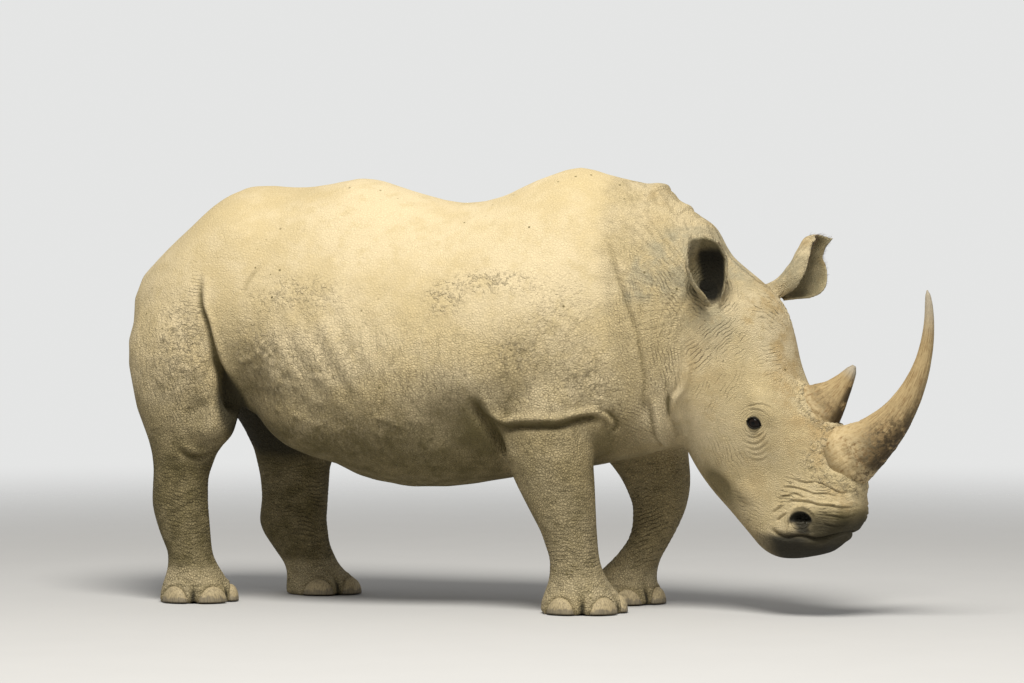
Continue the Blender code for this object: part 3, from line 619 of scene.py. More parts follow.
FOLDS = (
    # shoulder against neck
    fold("body", ((.34, -.19, 1.55), (.41, -.25, 1.42), (.48, -.30, 1.24), (.55, -.31, 1.06),
                  (.57, -.29, .89), (.56, -.27, .81), (.55, -.22, .73)), .011, .0085, .006, 2, .45, .08),
    # neck against cheek, and the pouch of the neck
    fold("body", ((.71, -.24, 1.04), (.71, -.24, .97), (.69, -.24, .87), (.66, -.24, .82),
                  (.65, -.21, .75), (.66, -.12, .67)), .012, .0095, .008, 2, .3, .05),
    fold("body", ((.57, -.27, .84), (.58, -.23, .75), (.585, -.18, .69), (.59, -.12, .645)),
         .014, .013, .012, 2, .25, .05),
    fold("body", ((.64, -.26, .92), (.65, -.24, .81), (.64, -.20, .74), (.65, -.15, .70)),
         .010, .009, .005),
    fold("body", ((.71, -.22, 1.25), (.68, -.24, 1.21), (.63, -.27, 1.12), (.60, -.29, 1.02)),
         .008, .005, .003),
    fold("body", ((.74, -.21, 1.23), (.71, -.23, 1.18), (.67, -.26, 1.08), (.66, -.26, 1.00)),
         .008, .005, .003),
    fold("body", ((.58, -.25, 1.30), (.57, -.28, 1.23), (.56, -.29, 1.15), (.57, -.30, 1.06)),
         .008, .004, .003),
    # skirt of the shoulder over the foreleg, and the roll at its front
    fold("body", ((-.03, -.43, .76), (.00, -.41, .73), (.05, -.385, .703), (.12, -.40, .707),
                  (.20, -.40, .710), (.27, -.39, .714), (.33, -.34, .73), (.37, -.29, .74),
                  (.40, -.27, .72)), .015, .028, .020, 2, .12, .12),
    fold("body", ((.41, -.24, .68), (.44, -.24, .70), (.452, -.26, .73), (.43, -.28, .765),
                  (.39, -.31, .79)), .011, .012, .006, 2, .2, .4),
    # hollow behind the elbow
    fold("body", ((-.08, -.45, .83), (-.06, -.44, .79), (-.04, -.42, .75), (-.01, -.385, .70),
                  (.01, -.34, .64), (.02, -.31, .58)), .024, .042, .012, 2, .3, .05),
    # flank against thigh, opening into the groin
    fold("body", ((-1.21, -.39, 1.33), (-1.20, -.42, 1.24), (-1.19, -.43, 1.16), (-1.17, -.43, 1.09),
                  (-1.15, -.41, 1.01), (-1.135, -.39, .93), (-1.12, -.36, .85)),
         .013, .022, .012, 2, .40, .10),
    fold("body", ((-1.15, -.41, 1.00), (-1.135, -.39, .93), (-1.12, -.36, .85), (-1.112, -.32, .78),
                  (-1.105, -.26, .73)), .024, .055, .016, 2, .45, .05),
    # hip
    fold("body", ((-1.02, -.44, 1.18), (-1.00, -.42, 1.24), (-.97, -.41, 1.29), (-.93, -.39, 1.33)),
         .009, .007, .003, 2, .3, .4),
    # ribs showing through the flank
    fold("body", ((-.70, -.46, 1.30), (-.76, -.48, 1.20), (-.80, -.49, 1.08)),
         .020, .0050, .003, 2, .4, .4),
    fold("body", ((-.60, -.46, 1.30), (-.66, -.48, 1.18), (-.71, -.49, 1.04)),
         .020, .0060, .003, 2, .4, .4),
    fold("body", ((-.50, -.46, 1.29), (-.56, -.48, 1.17), (-.61, -.49, 1.03)),
         .020, .0055, .003, 2, .4, .4),
    fold("body", ((-.40, -.46, 1.27), (-.46, -.48, 1.14), (-.50, -.49, 1.02)),
         .020, .0040, .003, 2, .4, .4),
    # knee of the right hind leg and its hock
    fold("body", ((-1.32, -.39, .60), (-1.26, -.37, .572), (-1.23, -.34, .570), (-1.205, -.31, .58),
                  (-1.19, -.26, .61)), .013, .015, .010, 1),
    fold("body", ((-1.37, -.36, .32), (-1.32, -.36, .35), (-1.27, -.35, .38), (-1.25, -.31, .40)),
         .012, .006, .003, 1, .4, .3),
    fold("body", ((-1.34, -.37, .39), (-1.29, -.36, .41), (-1.25, -.32, .44)),
         .010, .0035, .002, 1, .4, .3),
    # nape
    fold("body", ((.50, -.14, 1.58), (.56, -.05, 1.60), (.58, .05, 1.60), (.54, .14, 1.56)),
         .012, .006, .004, 1),
    fold("body", ((.64, -.15, 1.50), (.68, -.05, 1.54), (.69, .05, 1.54), (.66, .15, 1.50)),
         .012, .006, .004, 1),
    # arcs over the eye
    fold("head", ((.567, -.189, -.127), (.569, -.186, -.099), (.586, -.186, -.063),
                  (.609, -.177, -.039), (.640, -.167, -.037), (.667, -.163, -.050)),
         .0045, .0034, .0018, 2, .35, .35),
    fold("head", ((.580, -.19, -.128), (.584, -.19, -.100), (.600, -.185, -.076),
                  (.622, -.18, -.060), (.645, -.17, -.058), (.660, -.165, -.066)),
         .004, .0024, .0015, 2, .35, .35),
    # bags under it
    fold("head", ((.630, -.185, -.178), (.655, -.18, -.170), (.676, -.175, -.150),
                  (.680, -.17, -.120), (.672, -.17, -.088)), .004, .0026, .0018, 2, .35, .35),
    fold("head", ((.639, -.182, -.200), (.670, -.176, -.188), (.694, -.169, -.166),
                  (.699, -.166, -.127), (.690, -.164, -.085)), .0045, .0036, .0020, 2, .35, .35),
    fold("head", ((.663, -.177, -.212), (.694, -.170, -.198), (.713, -.164, -.178),
                  (.718, -.162, -.139), (.712, -.160, -.098)), .0045, .0028, .0016, 2, .35, .35),
    fold("head", ((.680, -.170, -.222), (.714, -.163, -.207), (.733, -.157, -.184),
                  (.738, -.157, -.146), (.730, -.157, -.110)), .005, .0020, .0012, 2, .35, .35),
    fold("head", ((.700, -.166, -.235), (.735, -.159, -.216), (.755, -.153, -.188),
                  (.758, -.153, -.150)), .005, .0022, .0012, 2, .35, .35),
    # muzzle, from its root down to the lip
    fold("head", ((.853, -.134, -.167), (.887, -.129, -.132), (.922, -.123, -.104),
                  (.938, -.118, -.077), (.957, -.114, -.058), (.987, -.109, -.042),
                  (1.022, -.101, -.027), (1.038, -.086, -.012), (1.041, -.036, .012)),
         .0040, .0060, .003, 2, .3, .3),
    fold("head", ((.878, -.134, -.208), (.892, -.133, -.171), (.917, -.131, -.143),
                  (.948, -.129, -.120), (.979, -.129, -.096), (1.001, -.121, -.066),
                  (1.020, -.114, -.048), (1.048, -.103, -.035), (1.067, -.091, -.030)),
         .0038, .0055, .003, 2, .2, .3),
    fold("head", ((.938, -.141, -.228), (.944, -.144, -.187), (.966, -.145, -.156),
                  (.988, -.141, -.133), (1.021, -.137, -.108), (1.051, -.127, -.074),
                  (1.076, -.108, -.053), (1.092, -.074, -.035), (1.096, -.030, -.020),
                  (1.097, .0, -.017)), .0045, .0075, .004, 2, .15, .45),
    fold("head", ((.900, -.134, -.241), (.907, -.136, -.213), (.919, -.137, -.190),
                  (.930, -.135, -.162), (.958, -.138, -.143), (.983, -.137, -.121)),
         .0038, .0050, .003),
    fold("head", ((.933, -.138, -.285), (.933, -.140, -.253), (.937, -.141, -.222)),
         .005, .0060, .004),
    fold("head", ((1.043, -.143, -.121), (1.070, -.136, -.104), (1.094, -.122, -.084),
                  (1.113, -.091, -.067), (1.118, -.057, -.050), (1.118, -.014, -.040)),
         .0040, .0050, .002, 2, .2, .6),
    fold("head", ((1.075, -.144, -.134), (1.103, -.130, -.123), (1.121, -.104, -.106),
                  (1.130, -.078, -.090), (1.134, -.045, -.080)), .0040, .0050, .002, 2, .2, .6),
    fold("head", ((.965, -.143, -.285), (.969, -.146, -.254), (.971, -.151, -.225)),
         .005, .0070, .004),
    fold("head", ((.992, -.152, -.241), (1.012, -.152, -.254), (1.030, -.151, -.276)),
         .005, .0070, .003),
    # ridge over the nostril
    fold("head", ((.992, -.158, -.222), (.990, -.157, -.196), (1.000, -.155, -.166),
                  (1.022, -.150, -.147), (1.048, -.148, -.146), (1.068, -.147, -.162)),
         .0060, .0010, .011, 2, .35, .35),
)

# The line between the lips, from the corner of the mouth to the middle of the front.
MOUTH = ((.975, -.142, -.330), (.992, -.145, -.315), (1.018, -.149, -.301), (1.042, -.151, -.280),
         (1.060, -.152, -.251), (1.085, -.147, -.223), (1.108, -.133, -.203), (1.124, -.115, -.178),
         (1.134, -.095, -.154), (1.144, -.058, -.135), (1.150, 0.0, -.128))

# A field of parallel or ringed wrinkles. heading is the direction across them, depth is how
# deep they are modelled and drawn how strongly the finish draws them.
Field = namedtuple("Field", "kind where centre reach heading spacing depth drawn")
FIELDS = (
    Field("flow", "head", (1.03, -.14, -.10), (.14, .13, .12), (-.788, 0, .616), .0125, .0016, 1.0),
    Field("flow", "head", (.93, -.15, -.18), (.14, .10, .11), (-.70, 0, .70), .0135, .0016, .9),
    Field("flow", "head", (1.12, 0, -.07), (.07, .14, .08), (-.6, 0, .8), .013, .0006, .8),
    Field("ring", "head", (1.02, -.15, -.20), (.10, .08, .10), (0, 0, 0), .012, .0010, .9),
    Field("ring", "head", (.107, -.188, .049), (.22, .13, .22), (0, 0, 0), .0130, .0036, .9),
    Field("flow", "head", (.300, -.19, -.07), (.16, .11, .22), (1, 0, .12), .0150, .0034, .9),
    Field("flow", "head", (.290, -.060, .130), (.15, .12, .10), (1, -1.1, 0), .0190, .0062, 1.0),
    Field("flow", "head", (.440, -.19, -.16), (.16, .12, .18), (1, 0, .45), .0155, .0014, .50),
    Field("flow", "head", (.66, -.18, -.29), (.20, .12, .12), (.30, 0, .95), .0145, .0008, .40),
    Field("flow", "head", (.47, -.10, .05), (.14, .10, .10), (1, 0, -.30), .0145, .0010, .40),
    Field("ring", "head", (.634, -.19, -.119), (.12, .09, .13), (0, 0, 0), .0095, .0020, .45),
    Field("flow", "head", (.95, -.12, -.36), (.12, .10, .08), (.75, 0, .66), .013, .0034, .9),
    Field("flow", "head", (.90, -.12, -.36), (.20, .10, .08), (.55, 0, -.83), .014, .0026, .8),
    Field("flow", "body", (.20, -.38, .58), (.26, .20, .22), (.35, 0, .94), .0145, .0022, .75),
    Field("flow", "body", (.20, -.38, .58), (.26, .20, .22), (.94, 0, -.30), .0135, .0022, .85),
    Field("flow", "body", (.27, -.27, .24), (.24, .20, .18), (-.05, 0, 1), .0135, .0034, 1.0),
    Field("flow", "body", (-1.30, -.27, .40), (.25, .25, .42), (.30, 0, .95), .014, .0024, .9),
    Field("flow", "body", (-1.22, -.43, 1.16), (.08, .12, .22), (.15, 0, .99), .013, .0024, .45),
    Field("flow", "body", (-1.28, -.40, .80), (.22, .14, .20), (.95, 0, .30), .016, .0012, .45),
    Field("flow", "body", (-.30, -.44, .80), (.40, .18, .20), (.93, 0, .36), .026, .0016, .30),
    Field("flow", "body", (.64, -.25, .95), (.13, .14, .30), (.98, 0, .10), .0125, .0030, .42),
    Field("flow", "body", (.66, -.22, 1.22), (.17, .16, .22), (.80, 0, .55), .0135, .0028, .50),
    Field("flow", "body", (.50, -.25, 1.12), (.14, .16, .42), (.98, 0, .22), .0105, .0008, .40),
    Field("flow", "body", (.50, -.20, .76), (.16, .20, .16), (.45, 0, .90), .0150, .0030, .6),
)
LEFT_LEG_FIELDS = (
    Field("flow", "body", (.40, .20, .30), (.26, .24, .26), (-.35, 0, .94), .0160, .0048, .9),
    Field("flow", "body", (-.98, .25, .36), (.32, .25, .34), (.12, 0, 1), .0160, .0026, .75),
)

RIB_SPACING = 0.12

# Where dried mud stands in lumps, and how much.
MUD = (
    ((-1.28, -.44, .98), (.15, .16, .24), 1.0), ((-.93, -.45, .98), (.16, .16, .14), 1.0),
    ((-.70, -.48, .95), (.26, .16, .14), .8), ((.11, -.45, .99), (.11, .16, .09), 1.0),
    ((.38, -.34, .87), (.14, .14, .12), .9), ((-.78, -.42, 1.20), (.26, .16, .09), .6),
    ((-.17, -.43, 1.20), (.09, .14, .08), .9), ((.26, -.38, 1.14), (.20, .16, .16), .4),
    ((-.88, -.43, .82), (.16, .14, .10), .8), ((.02, -.42, 1.26), (.22, .14, .05), .8),
    ((-1.10, .44, 1.02), (.24, .16, .20), .9), ((-.50, .48, .95), (.34, .16, .20), .8),
    ((.20, .42, 1.00), (.22, .16, .20), .9), ((-.65, -.46, .72), (.40, .2, .12), .5),
)

# Painted deep shade: frame, centre, reach, amount, sides. Over 1 it darkens towards black.
PAINTED_SHADE = (
    ("head", (.712, -.135, -.412), (.105, .09, .070), .80, 2),  # behind the jaw
    ("body", (-1.11, -.28, .80), (.050, .14, .15), 1.75, 2),  # groin
    ("body", (-1.08, .15, .74), (.34, .14, .20), 1.85, 1),
    ("body", (-1.00, -.10, .74), (.26, .16, .14), 1.6, 1),  # far thigh under the belly
    ("body", (-.04, -.38, .70), (.11, .12, .13), .8, 2),  # behind the elbow
    ("body", (-1.215, -.40, .74), (.05, .07, .06), .45, 1),
    ("body", (.39, -.22, .62), (.06, .10, .14), .6, 2),  # inside the arm
    ("body", (.32, -.33, .41), (.05, .08, .05), .35, 1),
)

# Soft swells and hollows: frame, centre, reach, height, sides.
SWELLS = (
    ("head", (1.128, 0, -.080), (.05, .12, .06), .008, 1),  # front of the upper lip
    ("head", (.610, -.19, -.050), (.070, .06, .035), .008, 2),  # brow
    ("head", (.800, -.155, -.200), (.110, .06, .080), -.007, 2),
    ("head", (.802, -.140, -.328), (.040, .06, .032), .013, 2),
    ("head", (.715, -.14, -.405), (.045, .06, .030), -.010, 2),
    ("head", (.470, -.190, -.220), (.140, .08, .120), .008, 2),  # cheek muscle
    ("body", (.56, 0, 1.615), (.05, .10, .05), .010, 1),  # nape
    ("body", (.66, 0, 1.565), (.035, .08, .05), .008, 1),
    ("body", (.76, 0, 1.46), (.05, .10, .06), .009, 1),
    ("body", (-.98, 0, 1.60), (.22, .05, .06), .006, 1),  # backbone
    ("body", (-1.165, -.36, .68), (.060, .09, .070), .030, 1),  # knee
    ("body", (-1.215, -.40, .745), (.040, .06, .050), -.014, 1),
    ("body", (-1.16, -.38, .76), (.028, .06, .10), .010, 1),
    ("body", (.57, -.16, .70), (.05, .10, .06), .016, 2),
    ("body", (.615, -.16, .71), (.055, .09, .10), .024, 2),  # pouch of the neck
    ("body", (.37, -.25, .68), (.030, .07, .10), .014, 2),
    ("body", (-.90, -.30, .67), (.28, .17, .11), .055, 2),  # fold of the flank
    ("head", (1.172, 0, -.138), (.050, .12, .045), -.014, 1),  # front of both lips
)

EYE_RADIUS = 0.028
EYE_BED = 0.029  # radius of the ball that fills the socket
LID_WALL = 0.0035
EYE_SLOPE = math.radians(15)
EYE_PLACE = (.634, .19, -.119)
NOSTRIL_PLACE = (1.020, 0.156, -0.190)

# Ears: the cup's share of the length, radius and half the angle that its wall spans. One rim,
# on side, is drawn out to the tip (along facing, aside and axis), flared and notched. deep is
# how much shade is painted inside the cup.
Ear = namedtuple("Ear", "name root tip facing bow side draw flare notch cup deep")
EARS = (
    Ear("ear_right", (0.170, -0.177, 0.016), (0.004, -0.280, 0.181), (0.70, -0.60, 0.40), 0.0, -1,
        (0.0, -0.040, 0.030), (-0.026, -0.020), 0.83,
        ((0.0, 0.032, 165), (0.14, 0.040, 150), (0.38, 0.059, 122), (0.67, 0.070, 104),
         (0.86, 0.058, 92), (0.94, 0.048, 86), (1.0, 0.028, 80)), 1.0),
    Ear("ear_left", (0.198, 0.129, 0.114), (0.136, 0.210, 0.352), (0.985, -0.13, 0.10), 0.042, 1,
        (0.022, 0.0, 0.046), (0.062, 0.0), 0.84,
        ((0.0, 0.042, 165), (0.15, 0.046, 150), (0.4, 0.066, 124), (0.65, 0.070, 112),
         (0.85, 0.056, 104), (0.94, 0.042, 98), (1.0, 0.028, 95)), 0.0),
)
EAR_WALL = 0.0115

# Horns: root along and above the head, lean, bend, length, breadth as a share of depth, radii.
Horn = namedtuple("Horn", "name root lean bend length flatness taper")
HORN_ROOT = 0.06  # how far a horn reaches under the skin
HORN_STEPS, HORN_STRAIGHT = 200, 0.045  # steps of its curve, and the share before it bends
HORNS = (
    Horn("front_horn", (0.918, 0.066), math.radians(8), math.radians(73), 0.735, 0.86,
         ((0.0, 0.120), (0.07, 0.102), (0.22, 0.078), (0.36, 0.058), (0.50, 0.043),
          (0.65, 0.030), (0.80, 0.0215), (0.93, 0.0150), (0.975, 0.0105), (1.0, 0.003))),
    Horn("rear_horn", (0.700, 0.062), 0.0, math.radians(22), 0.215, 0.62,
         ((0.0, 0.104), (0.2, 0.082), (0.45, 0.056), (0.7, 0.036), (0.9, 0.022), (1.0, 0.009))),
)

# Feet: the middle of the sole and half its length. Nails stand round the front.
FEET = {
    "hind_right": (-1.2796, -0.2652, 0.145), "hind_left": (-0.9626, 0.2548, 0.145),
    "fore_right": (0.3094, -0.2452, 0.158), "fore_left": (0.3204, 0.2278, 0.148),
}
FOOT_BREADTH = 0.94  # a sole's breadth as a share of its length
NAIL_TURNS = (0, 68, -68)
CLEFT_TURNS = (34, -34)
TOE_OUT = {"hind_right": 40, "hind_left": -8, "fore_right": 38, "fore_left": 0}
NAIL_SIZE = Vector((0.032, 0.060, 0.062))
NAIL_LIFT = 0.004
NAIL_INSET = 0.012

# Middle of the tail's tuft from its root down: height, forward, aside, half width.
TUFT = ((0.660, -1.582, 0.055, 0.019), (0.60, -1.571, 0.056, 0.026), (0.52, -1.553, 0.057, 0.024),
        (0.44, -1.534, 0.058, 0.010))


# ---------------------------------------------------------------------------
# Pieces
# ---------------------------------------------------------------------------
def finished(name, mesh, finish, slot, *nodes):
    """Shows a piece: it takes its finish, rides on the body and stands for its solids."""
    piece = bpy.data.objects.new(name, mesh)
    bpy.context.scene.collection.objects.link(piece)
    mesh.materials.clear()
    mesh.materials.append(finish)
    mesh.shade_smooth()
    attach(piece, "root")
    if nodes:
        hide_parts(*nodes)
    return piece


def mesh_of(form, name):
    mesh = bpy.data.meshes.new(name)
    form.to_mesh(mesh)
    form.free()
    return mesh


def through(mesh, kind, **settings):
    """A mesh passed through one modifier."""
    holder = bpy.data.objects.new("work", mesh)
    bpy.context.scene.collection.objects.link(holder)
    modifier = holder.modifiers.new("work", kind)
    for key, value in settings.items():
        setattr(modifier, key, value)
    result = bpy.data.meshes.new_from_object(
        holder.evaluated_get(bpy.context.evaluated_depsgraph_get())
    )
    bpy.data.objects.remove(holder)
    return result


def bare_flesh():
    """The solids of flesh in one mesh, each closed and a little fat, so that their cuts fuse."""
    body = bmesh.new()
    for node in FLESH:
        form = bmesh.new()
        form.from_mesh(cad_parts[node].data)
        bmesh.ops.remove_doubles(form, verts=form.verts, dist=WELD)
        form.normal_update()
        for vertex in form.verts:
            vertex.co += vertex.normal * 0.001
        part = mesh_of(form, node)
        body.from_mesh(part)
        bpy.data.meshes.remove(part)
    for node in EYE_NODES:
        bmesh.ops.create_icosphere(
            body, subdivisions=3, radius=EYE_BED, matrix=Matrix.Translation(middle_of(node))
        )
    return mesh_of(body, "flesh")


def ear_axes(shape):
    root, tip = head_point(shape.root), head_point(shape.tip)
    axis = tip - root
    facing = HEAD_FRAME.to_3x3() @ Vector(shape.facing)
    facing = (facing - facing.project(axis)).normalized()
    return root, axis, facing, axis.cross(facing).normalized()


def ear_place(shape, run, across):
    """A place on the middle of an ear's wall: run from root to tip, across from -1 to 1."""
    root, axis, facing, aside = ear_axes(shape)
    shares, radii, spans = zip(*shape.cup)
    radius = float(np.interp(run, shares, radii))
    rim = (1 + shape.side * across) / 2
    notch = 0.16 * math.exp(-((run - shape.notch) / 0.035) ** 2) * rim**4
    turn = math.radians(float(np.interp(run, shares, spans))) * across * (1 - notch)
    place = root + axis * run - facing * radius * math.cos(turn) + aside * radius * math.sin(turn)
    swell = math.sin(math.pi * min(run * 1.1, 1))
    place += facing * shape.bow * swell
    spread = rim**2 * swell * min(0.25 + run, 1)
    place += (facing * shape.flare[0] + aside * shape.flare[1]) * spread
    drawn = rim**1.5 * run**11
    return place + (
        facing * shape.draw[0] + aside * shape.draw[1] + axis.normalized() * shape.draw[2]) * drawn


def ear_leaf(shape):
    """The ear as a sheet bent into a cup, then given its wall."""
    form = bmesh.new()
    bmesh.ops.create_grid(form, x_segments=26, y_segments=30, size=1)
    for vertex in form.verts:
        vertex.co = ear_place(shape, (vertex.co.y + 1) / 2, vertex.co.x)
    return through(mesh_of(form, shape.name), "SOLIDIFY", thickness=EAR_WALL, offset=0)


def joined(*meshes):
    form = bmesh.new()
    for mesh in meshes:
        form.from_mesh(mesh)
        bpy.data.meshes.remove(mesh)
    return mesh_of(form, "joined")


def head_places(places):
    """Places given in the head's own frame."""
    back = np.array(HEAD_FRAME.inverted())
    return places @ back[:3, :3].T + back[:3, 3]


def owners(mesh, web):
    """Soft shares of head, neck, leg, foot and tail on the skin, from the solids it covers."""
    groups = ("trunk", "head", "neck", "leg", "foot", "tail")
    words = {"head": 1, "muzzle": 1, "lower_lip": 1, "neck": 2, "tail_stem": 5}
    spots, kinds = [], []
    for node in FLESH:
        kind = words.get(node, 4 if node.endswith("_foot") else 3 if node.endswith("_leg") else 0)
        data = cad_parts[node].data
        for vertex in data.vertices:
            spots.append(vertex.co)
            kinds.append(kind)
        for face in data.polygons:
            spots.append(face.center)
            kinds.append(kind)
    tree = KDTree(len(spots))
    for index, spot in enumerate(spots):
        tree.insert(spot, index)
    tree.balance()
    nearest = np.array([kinds[tree.find(vertex.co)[1]] for vertex in mesh.vertices])
    return {
        name: web.soften((nearest == k).astype(float), 14) for k, name in enumerate(groups)
    }


def refine(mesh, chosen):
    """Splits the faces round the chosen points."""
    form = bmesh.new()
    form.from_mesh(mesh)
    edges = [edge for edge in form.edges if chosen[edge.verts[0].index] and chosen[edge.verts[1].index]]
    bmesh.ops.subdivide_edges(form, edges=edges, cuts=1, use_grid_fill=True)
    bpy.data.meshes.remove(mesh)
    return mesh_of(form, "refined")


def thinned(mesh, chosen, triangles):
    """Merges faces among the chosen points until about so many triangles are left of them."""
    holder = bpy.data.objects.new("work", mesh)
    bpy.context.scene.collection.objects.link(holder)
    holder.vertex_groups.clear()  # the mesh keeps the groups of an earlier thinning
    group = holder.vertex_groups.new(name="chosen")
    group.add(np.flatnonzero(chosen).tolist(), 1.0, "REPLACE")
    sizes = np.empty(len(mesh.polygons), np.int32)
    mesh.polygons.foreach_get("loop_total", sizes)
    starts = np.empty(len(mesh.polygons), np.int32)
    mesh.polygons.foreach_get("loop_start", starts)
    corners = np.empty(len(mesh.loops), np.int32)
    mesh.loops.foreach_get("vertex_index", corners)
    total = int(np.sum(sizes - 2))
    among = int(np.sum((sizes - 2)[chosen[corners[starts]]]))
    modifier = holder.modifiers.new("thin", "DECIMATE")
    modifier.ratio = (total - among + triangles) / total
    modifier.use_collapse_triangulate = True
    modifier.vertex_group = "chosen"
    result = bpy.data.meshes.new_from_object(
        holder.evaluated_get(bpy.context.evaluated_depsgraph_get())
    )
    bpy.data.objects.remove(holder)
    bpy.data.meshes.remove(mesh)
    return result


def in_frame(where, points, mirrored):
    flip = np.array((1, -1 if mirrored else 1, 1))
    points = np.array(points, float) * flip
    if where == "head":
        turn = np.array(HEAD_FRAME)
        points = points @ turn[:3, :3].T + turn[:3, 3]
    return points


def snapped(surface, line):
    """A line laid onto the skin."""
    return np.array([surface.closest_point_on_mesh(Vector(point))[1] for point in line])


def carve_folds(where, surface, places, normals, depth):
    """How far each place moves along its normal for the folds of head or body."""
    move = np.zeros(len(places))
    wander = lattice_noise(places, 0.07 if where == "body" else 0.03, 11) * 0.35
    for item in FOLDS:
        if item.where != where:
            continue
        for mirrored in (False, True)[:item.sides]:
            line = curve_through(in_frame(item.where, item.points, mirrored))
            line = snapped(surface, line)
            reach = item.width * 5
            which, signed, along = from_line(places, normals, line, reach)
            if mirrored:
                signed = -signed
            signed = signed + wander[which] * item.width
            ends = smooth_step(along, 0, item.start) * smooth_step(1 - along, 0, item.end)
            fade = smooth_step(reach - np.abs(signed), 0, reach * 0.4)
            groove = np.exp(-((signed + 0.2 * item.width) / item.width) ** 2)
            roll = np.exp(-((signed + 1.7 * item.width) / (1.3 * item.width)) ** 2)
            move[which] += (item.roll * roll - item.depth * groove) * ends * fade * depth
    return move


def wrinkle_waves(places, in_head):
    """Each field of wrinkles: which places it reaches, how far, and its phase there."""
    wobble = {"body": layered_noise(places, 0.09, 23, 2), "head": layered_noise(places, 0.06, 27, 2)}
    listed = [(field, mirrored) for field in FIELDS for mirrored in (False, True)]
    listed += [(field, False) for field in LEFT_LEG_FIELDS]
    for field, mirrored in listed:
        spots = in_head if field.where == "head" else places
        flip = np.array((1, -1 if mirrored else 1, 1))
        centre = np.array(field.centre) * flip
        weight = near(spots, centre, field.reach)
        some = np.flatnonzero(weight > 0)
        if not len(some):
            continue
        if field.kind == "flow":
            heading = np.array(field.heading, float) * flip
            phase = spots[some] @ (heading / np.linalg.norm(heading))
        else:
            phase = np.linalg.norm(spots[some] - centre, axis=1)
        yield field, some, weight[some], phase / field.spacing + wobble[field.where][some] * 1.1


def carve_fields(places, in_head, amount):
    """How far each place moves for the fields of wrinkles."""
    move = np.zeros(len(places))
    patchy = 0.65 + 0.35 * lattice_noise(places, 0.05, 31)
    for field, some, weight, phase in wrinkle_waves(places, in_head):
        valley = 1 - np.abs(np.sin(np.pi * phase)) ** 0.6
        move[some] += -field.depth * valley * weight * patchy[some]
    return move * amount


def strongest_waves(places, in_head):
    """The phase of the strongest field at each place, and how far it outdoes the others."""
    best, second, wave = (np.zeros(len(places)) for _ in range(3))
    for field, some, weight, phase in wrinkle_waves(places, in_head):
        weight = weight * field.drawn
        ahead = weight > best[some]
        second[some] = np.where(ahead, best[some], np.maximum(second[some], weight))
        wave[some] = np.where(ahead, phase, wave[some])
        best[some] = np.where(ahead, weight, best[some])
    return wave, np.clip((best - second) * 2.2, 0, np.clip(best * 1.5, 0, 1))


def eye_axes(node):
    """An eye's centre, the way it faces, and the long and short way of its opening."""
    centre = middle_of(node)
    side = 1 if node.endswith("left") else -1
    turn = HEAD_FRAME.to_3x3()
    facing = (turn @ Vector((0.12, side, 0.10))).normalized()
    level, down = turn @ Vector(HEAD_LEVEL), turn @ Vector(HEAD_DOWN)
    long_way = level * math.cos(EYE_SLOPE) + down * math.sin(EYE_SLOPE)
    long_way = (long_way - long_way.project(facing)).normalized()
    short_way = facing.cross(long_way).normalized()
    if short_way.z < 0:
        short_way.negate()
    return centre, facing, long_way, short_way


def open_lids(places, look, marks):
    """Lids stretched over each eyeball, with an almond opening."""
    for node in EYE_NODES:
        centre, facing, long_way, short_way = (np.array(v) for v in eye_axes(node))
        close = np.flatnonzero(np.sum((places - centre) ** 2, axis=1) < 0.055**2)
        offset = places[close] - centre
        u, v, h = offset @ long_way, offset @ short_way, offset @ facing
        rho = np.hypot(u, v)
        front = h > 0
        almond = look.lid_height * np.clip(1 - np.abs(u / look.lid_width) ** 2.2, 0, 1)
        almond = np.where(v > 0, almond * 1.05, almond * 0.85)
        within = almond - np.abs(v)
        inside = smooth_step(within, -0.0008, 0.0022) * (np.abs(u) < look.lid_width)
        ball = np.sqrt(np.clip(EYE_RADIUS**2 - rho**2, 0, None))
        lid = np.sqrt(np.clip((EYE_RADIUS + LID_WALL) ** 2 - rho**2, 0, None))
        rim = np.exp(-((within + 0.0035) / 0.0028) ** 2) * 0.0016
        outer = np.maximum(lid, h) + rim * (rho < 0.034)
        target = outer * (1 - inside) + (ball - 0.006) * inside
        blend = smooth_step(0.040 - rho, 0, 0.010) * front
        places[close] += ((target - h) * blend)[:, None] * facing
        beyond = np.clip(np.abs(u) - look.lid_width * 0.9, 0, None) * 1.6
        edge = smooth_step(within - beyond, -0.0120, -0.0050) * (rho < 0.047) * front
        deepen(marks, "dark", edge, close)
        deepen(marks, "wet", inside * front, close)
    return places


def open_nostrils(places, normals, in_head, marks):
    """Deep arched nostrils over a dark wet floor."""
    for side in (-1, 1):
        offset = in_head - np.array(NOSTRIL_PLACE) * (1, side, 1)
        level, drop = offset @ np.array(HEAD_LEVEL), offset @ np.array(HEAD_DOWN)
        out = np.abs(offset[:, 1])
        curl = drop + 0.003 - 5.0 * level**2
        size = np.sqrt((level / 0.043) ** 2 + (curl / 0.0205) ** 2 + (out / 0.085) ** 2)
        pit = smooth_step(size, 1.12, 0.50)
        places -= normals * (pit * 0.038)[:, None]
        below = smooth_step(drop, -0.004, 0.016) * smooth_step(drop, 0.092, 0.050)
        aside = np.abs(level - 0.22 * drop) + 0.0035 * np.sin(drop * 210) + 0.10 * drop
        floor = smooth_step(aside, 0.058, 0.018) * below * (out < 0.08)
        places -= normals * (floor * (1 - pit) * 0.008)[:, None]
        # dark nostril skin and painted shade in and round each nostril
        deepen(marks, "dark", smooth_step(size, 1.45, 0.95))
        deepen(marks, "dark", floor * 0.95)
        deepen(marks, "wet", floor * 0.9)
    return places


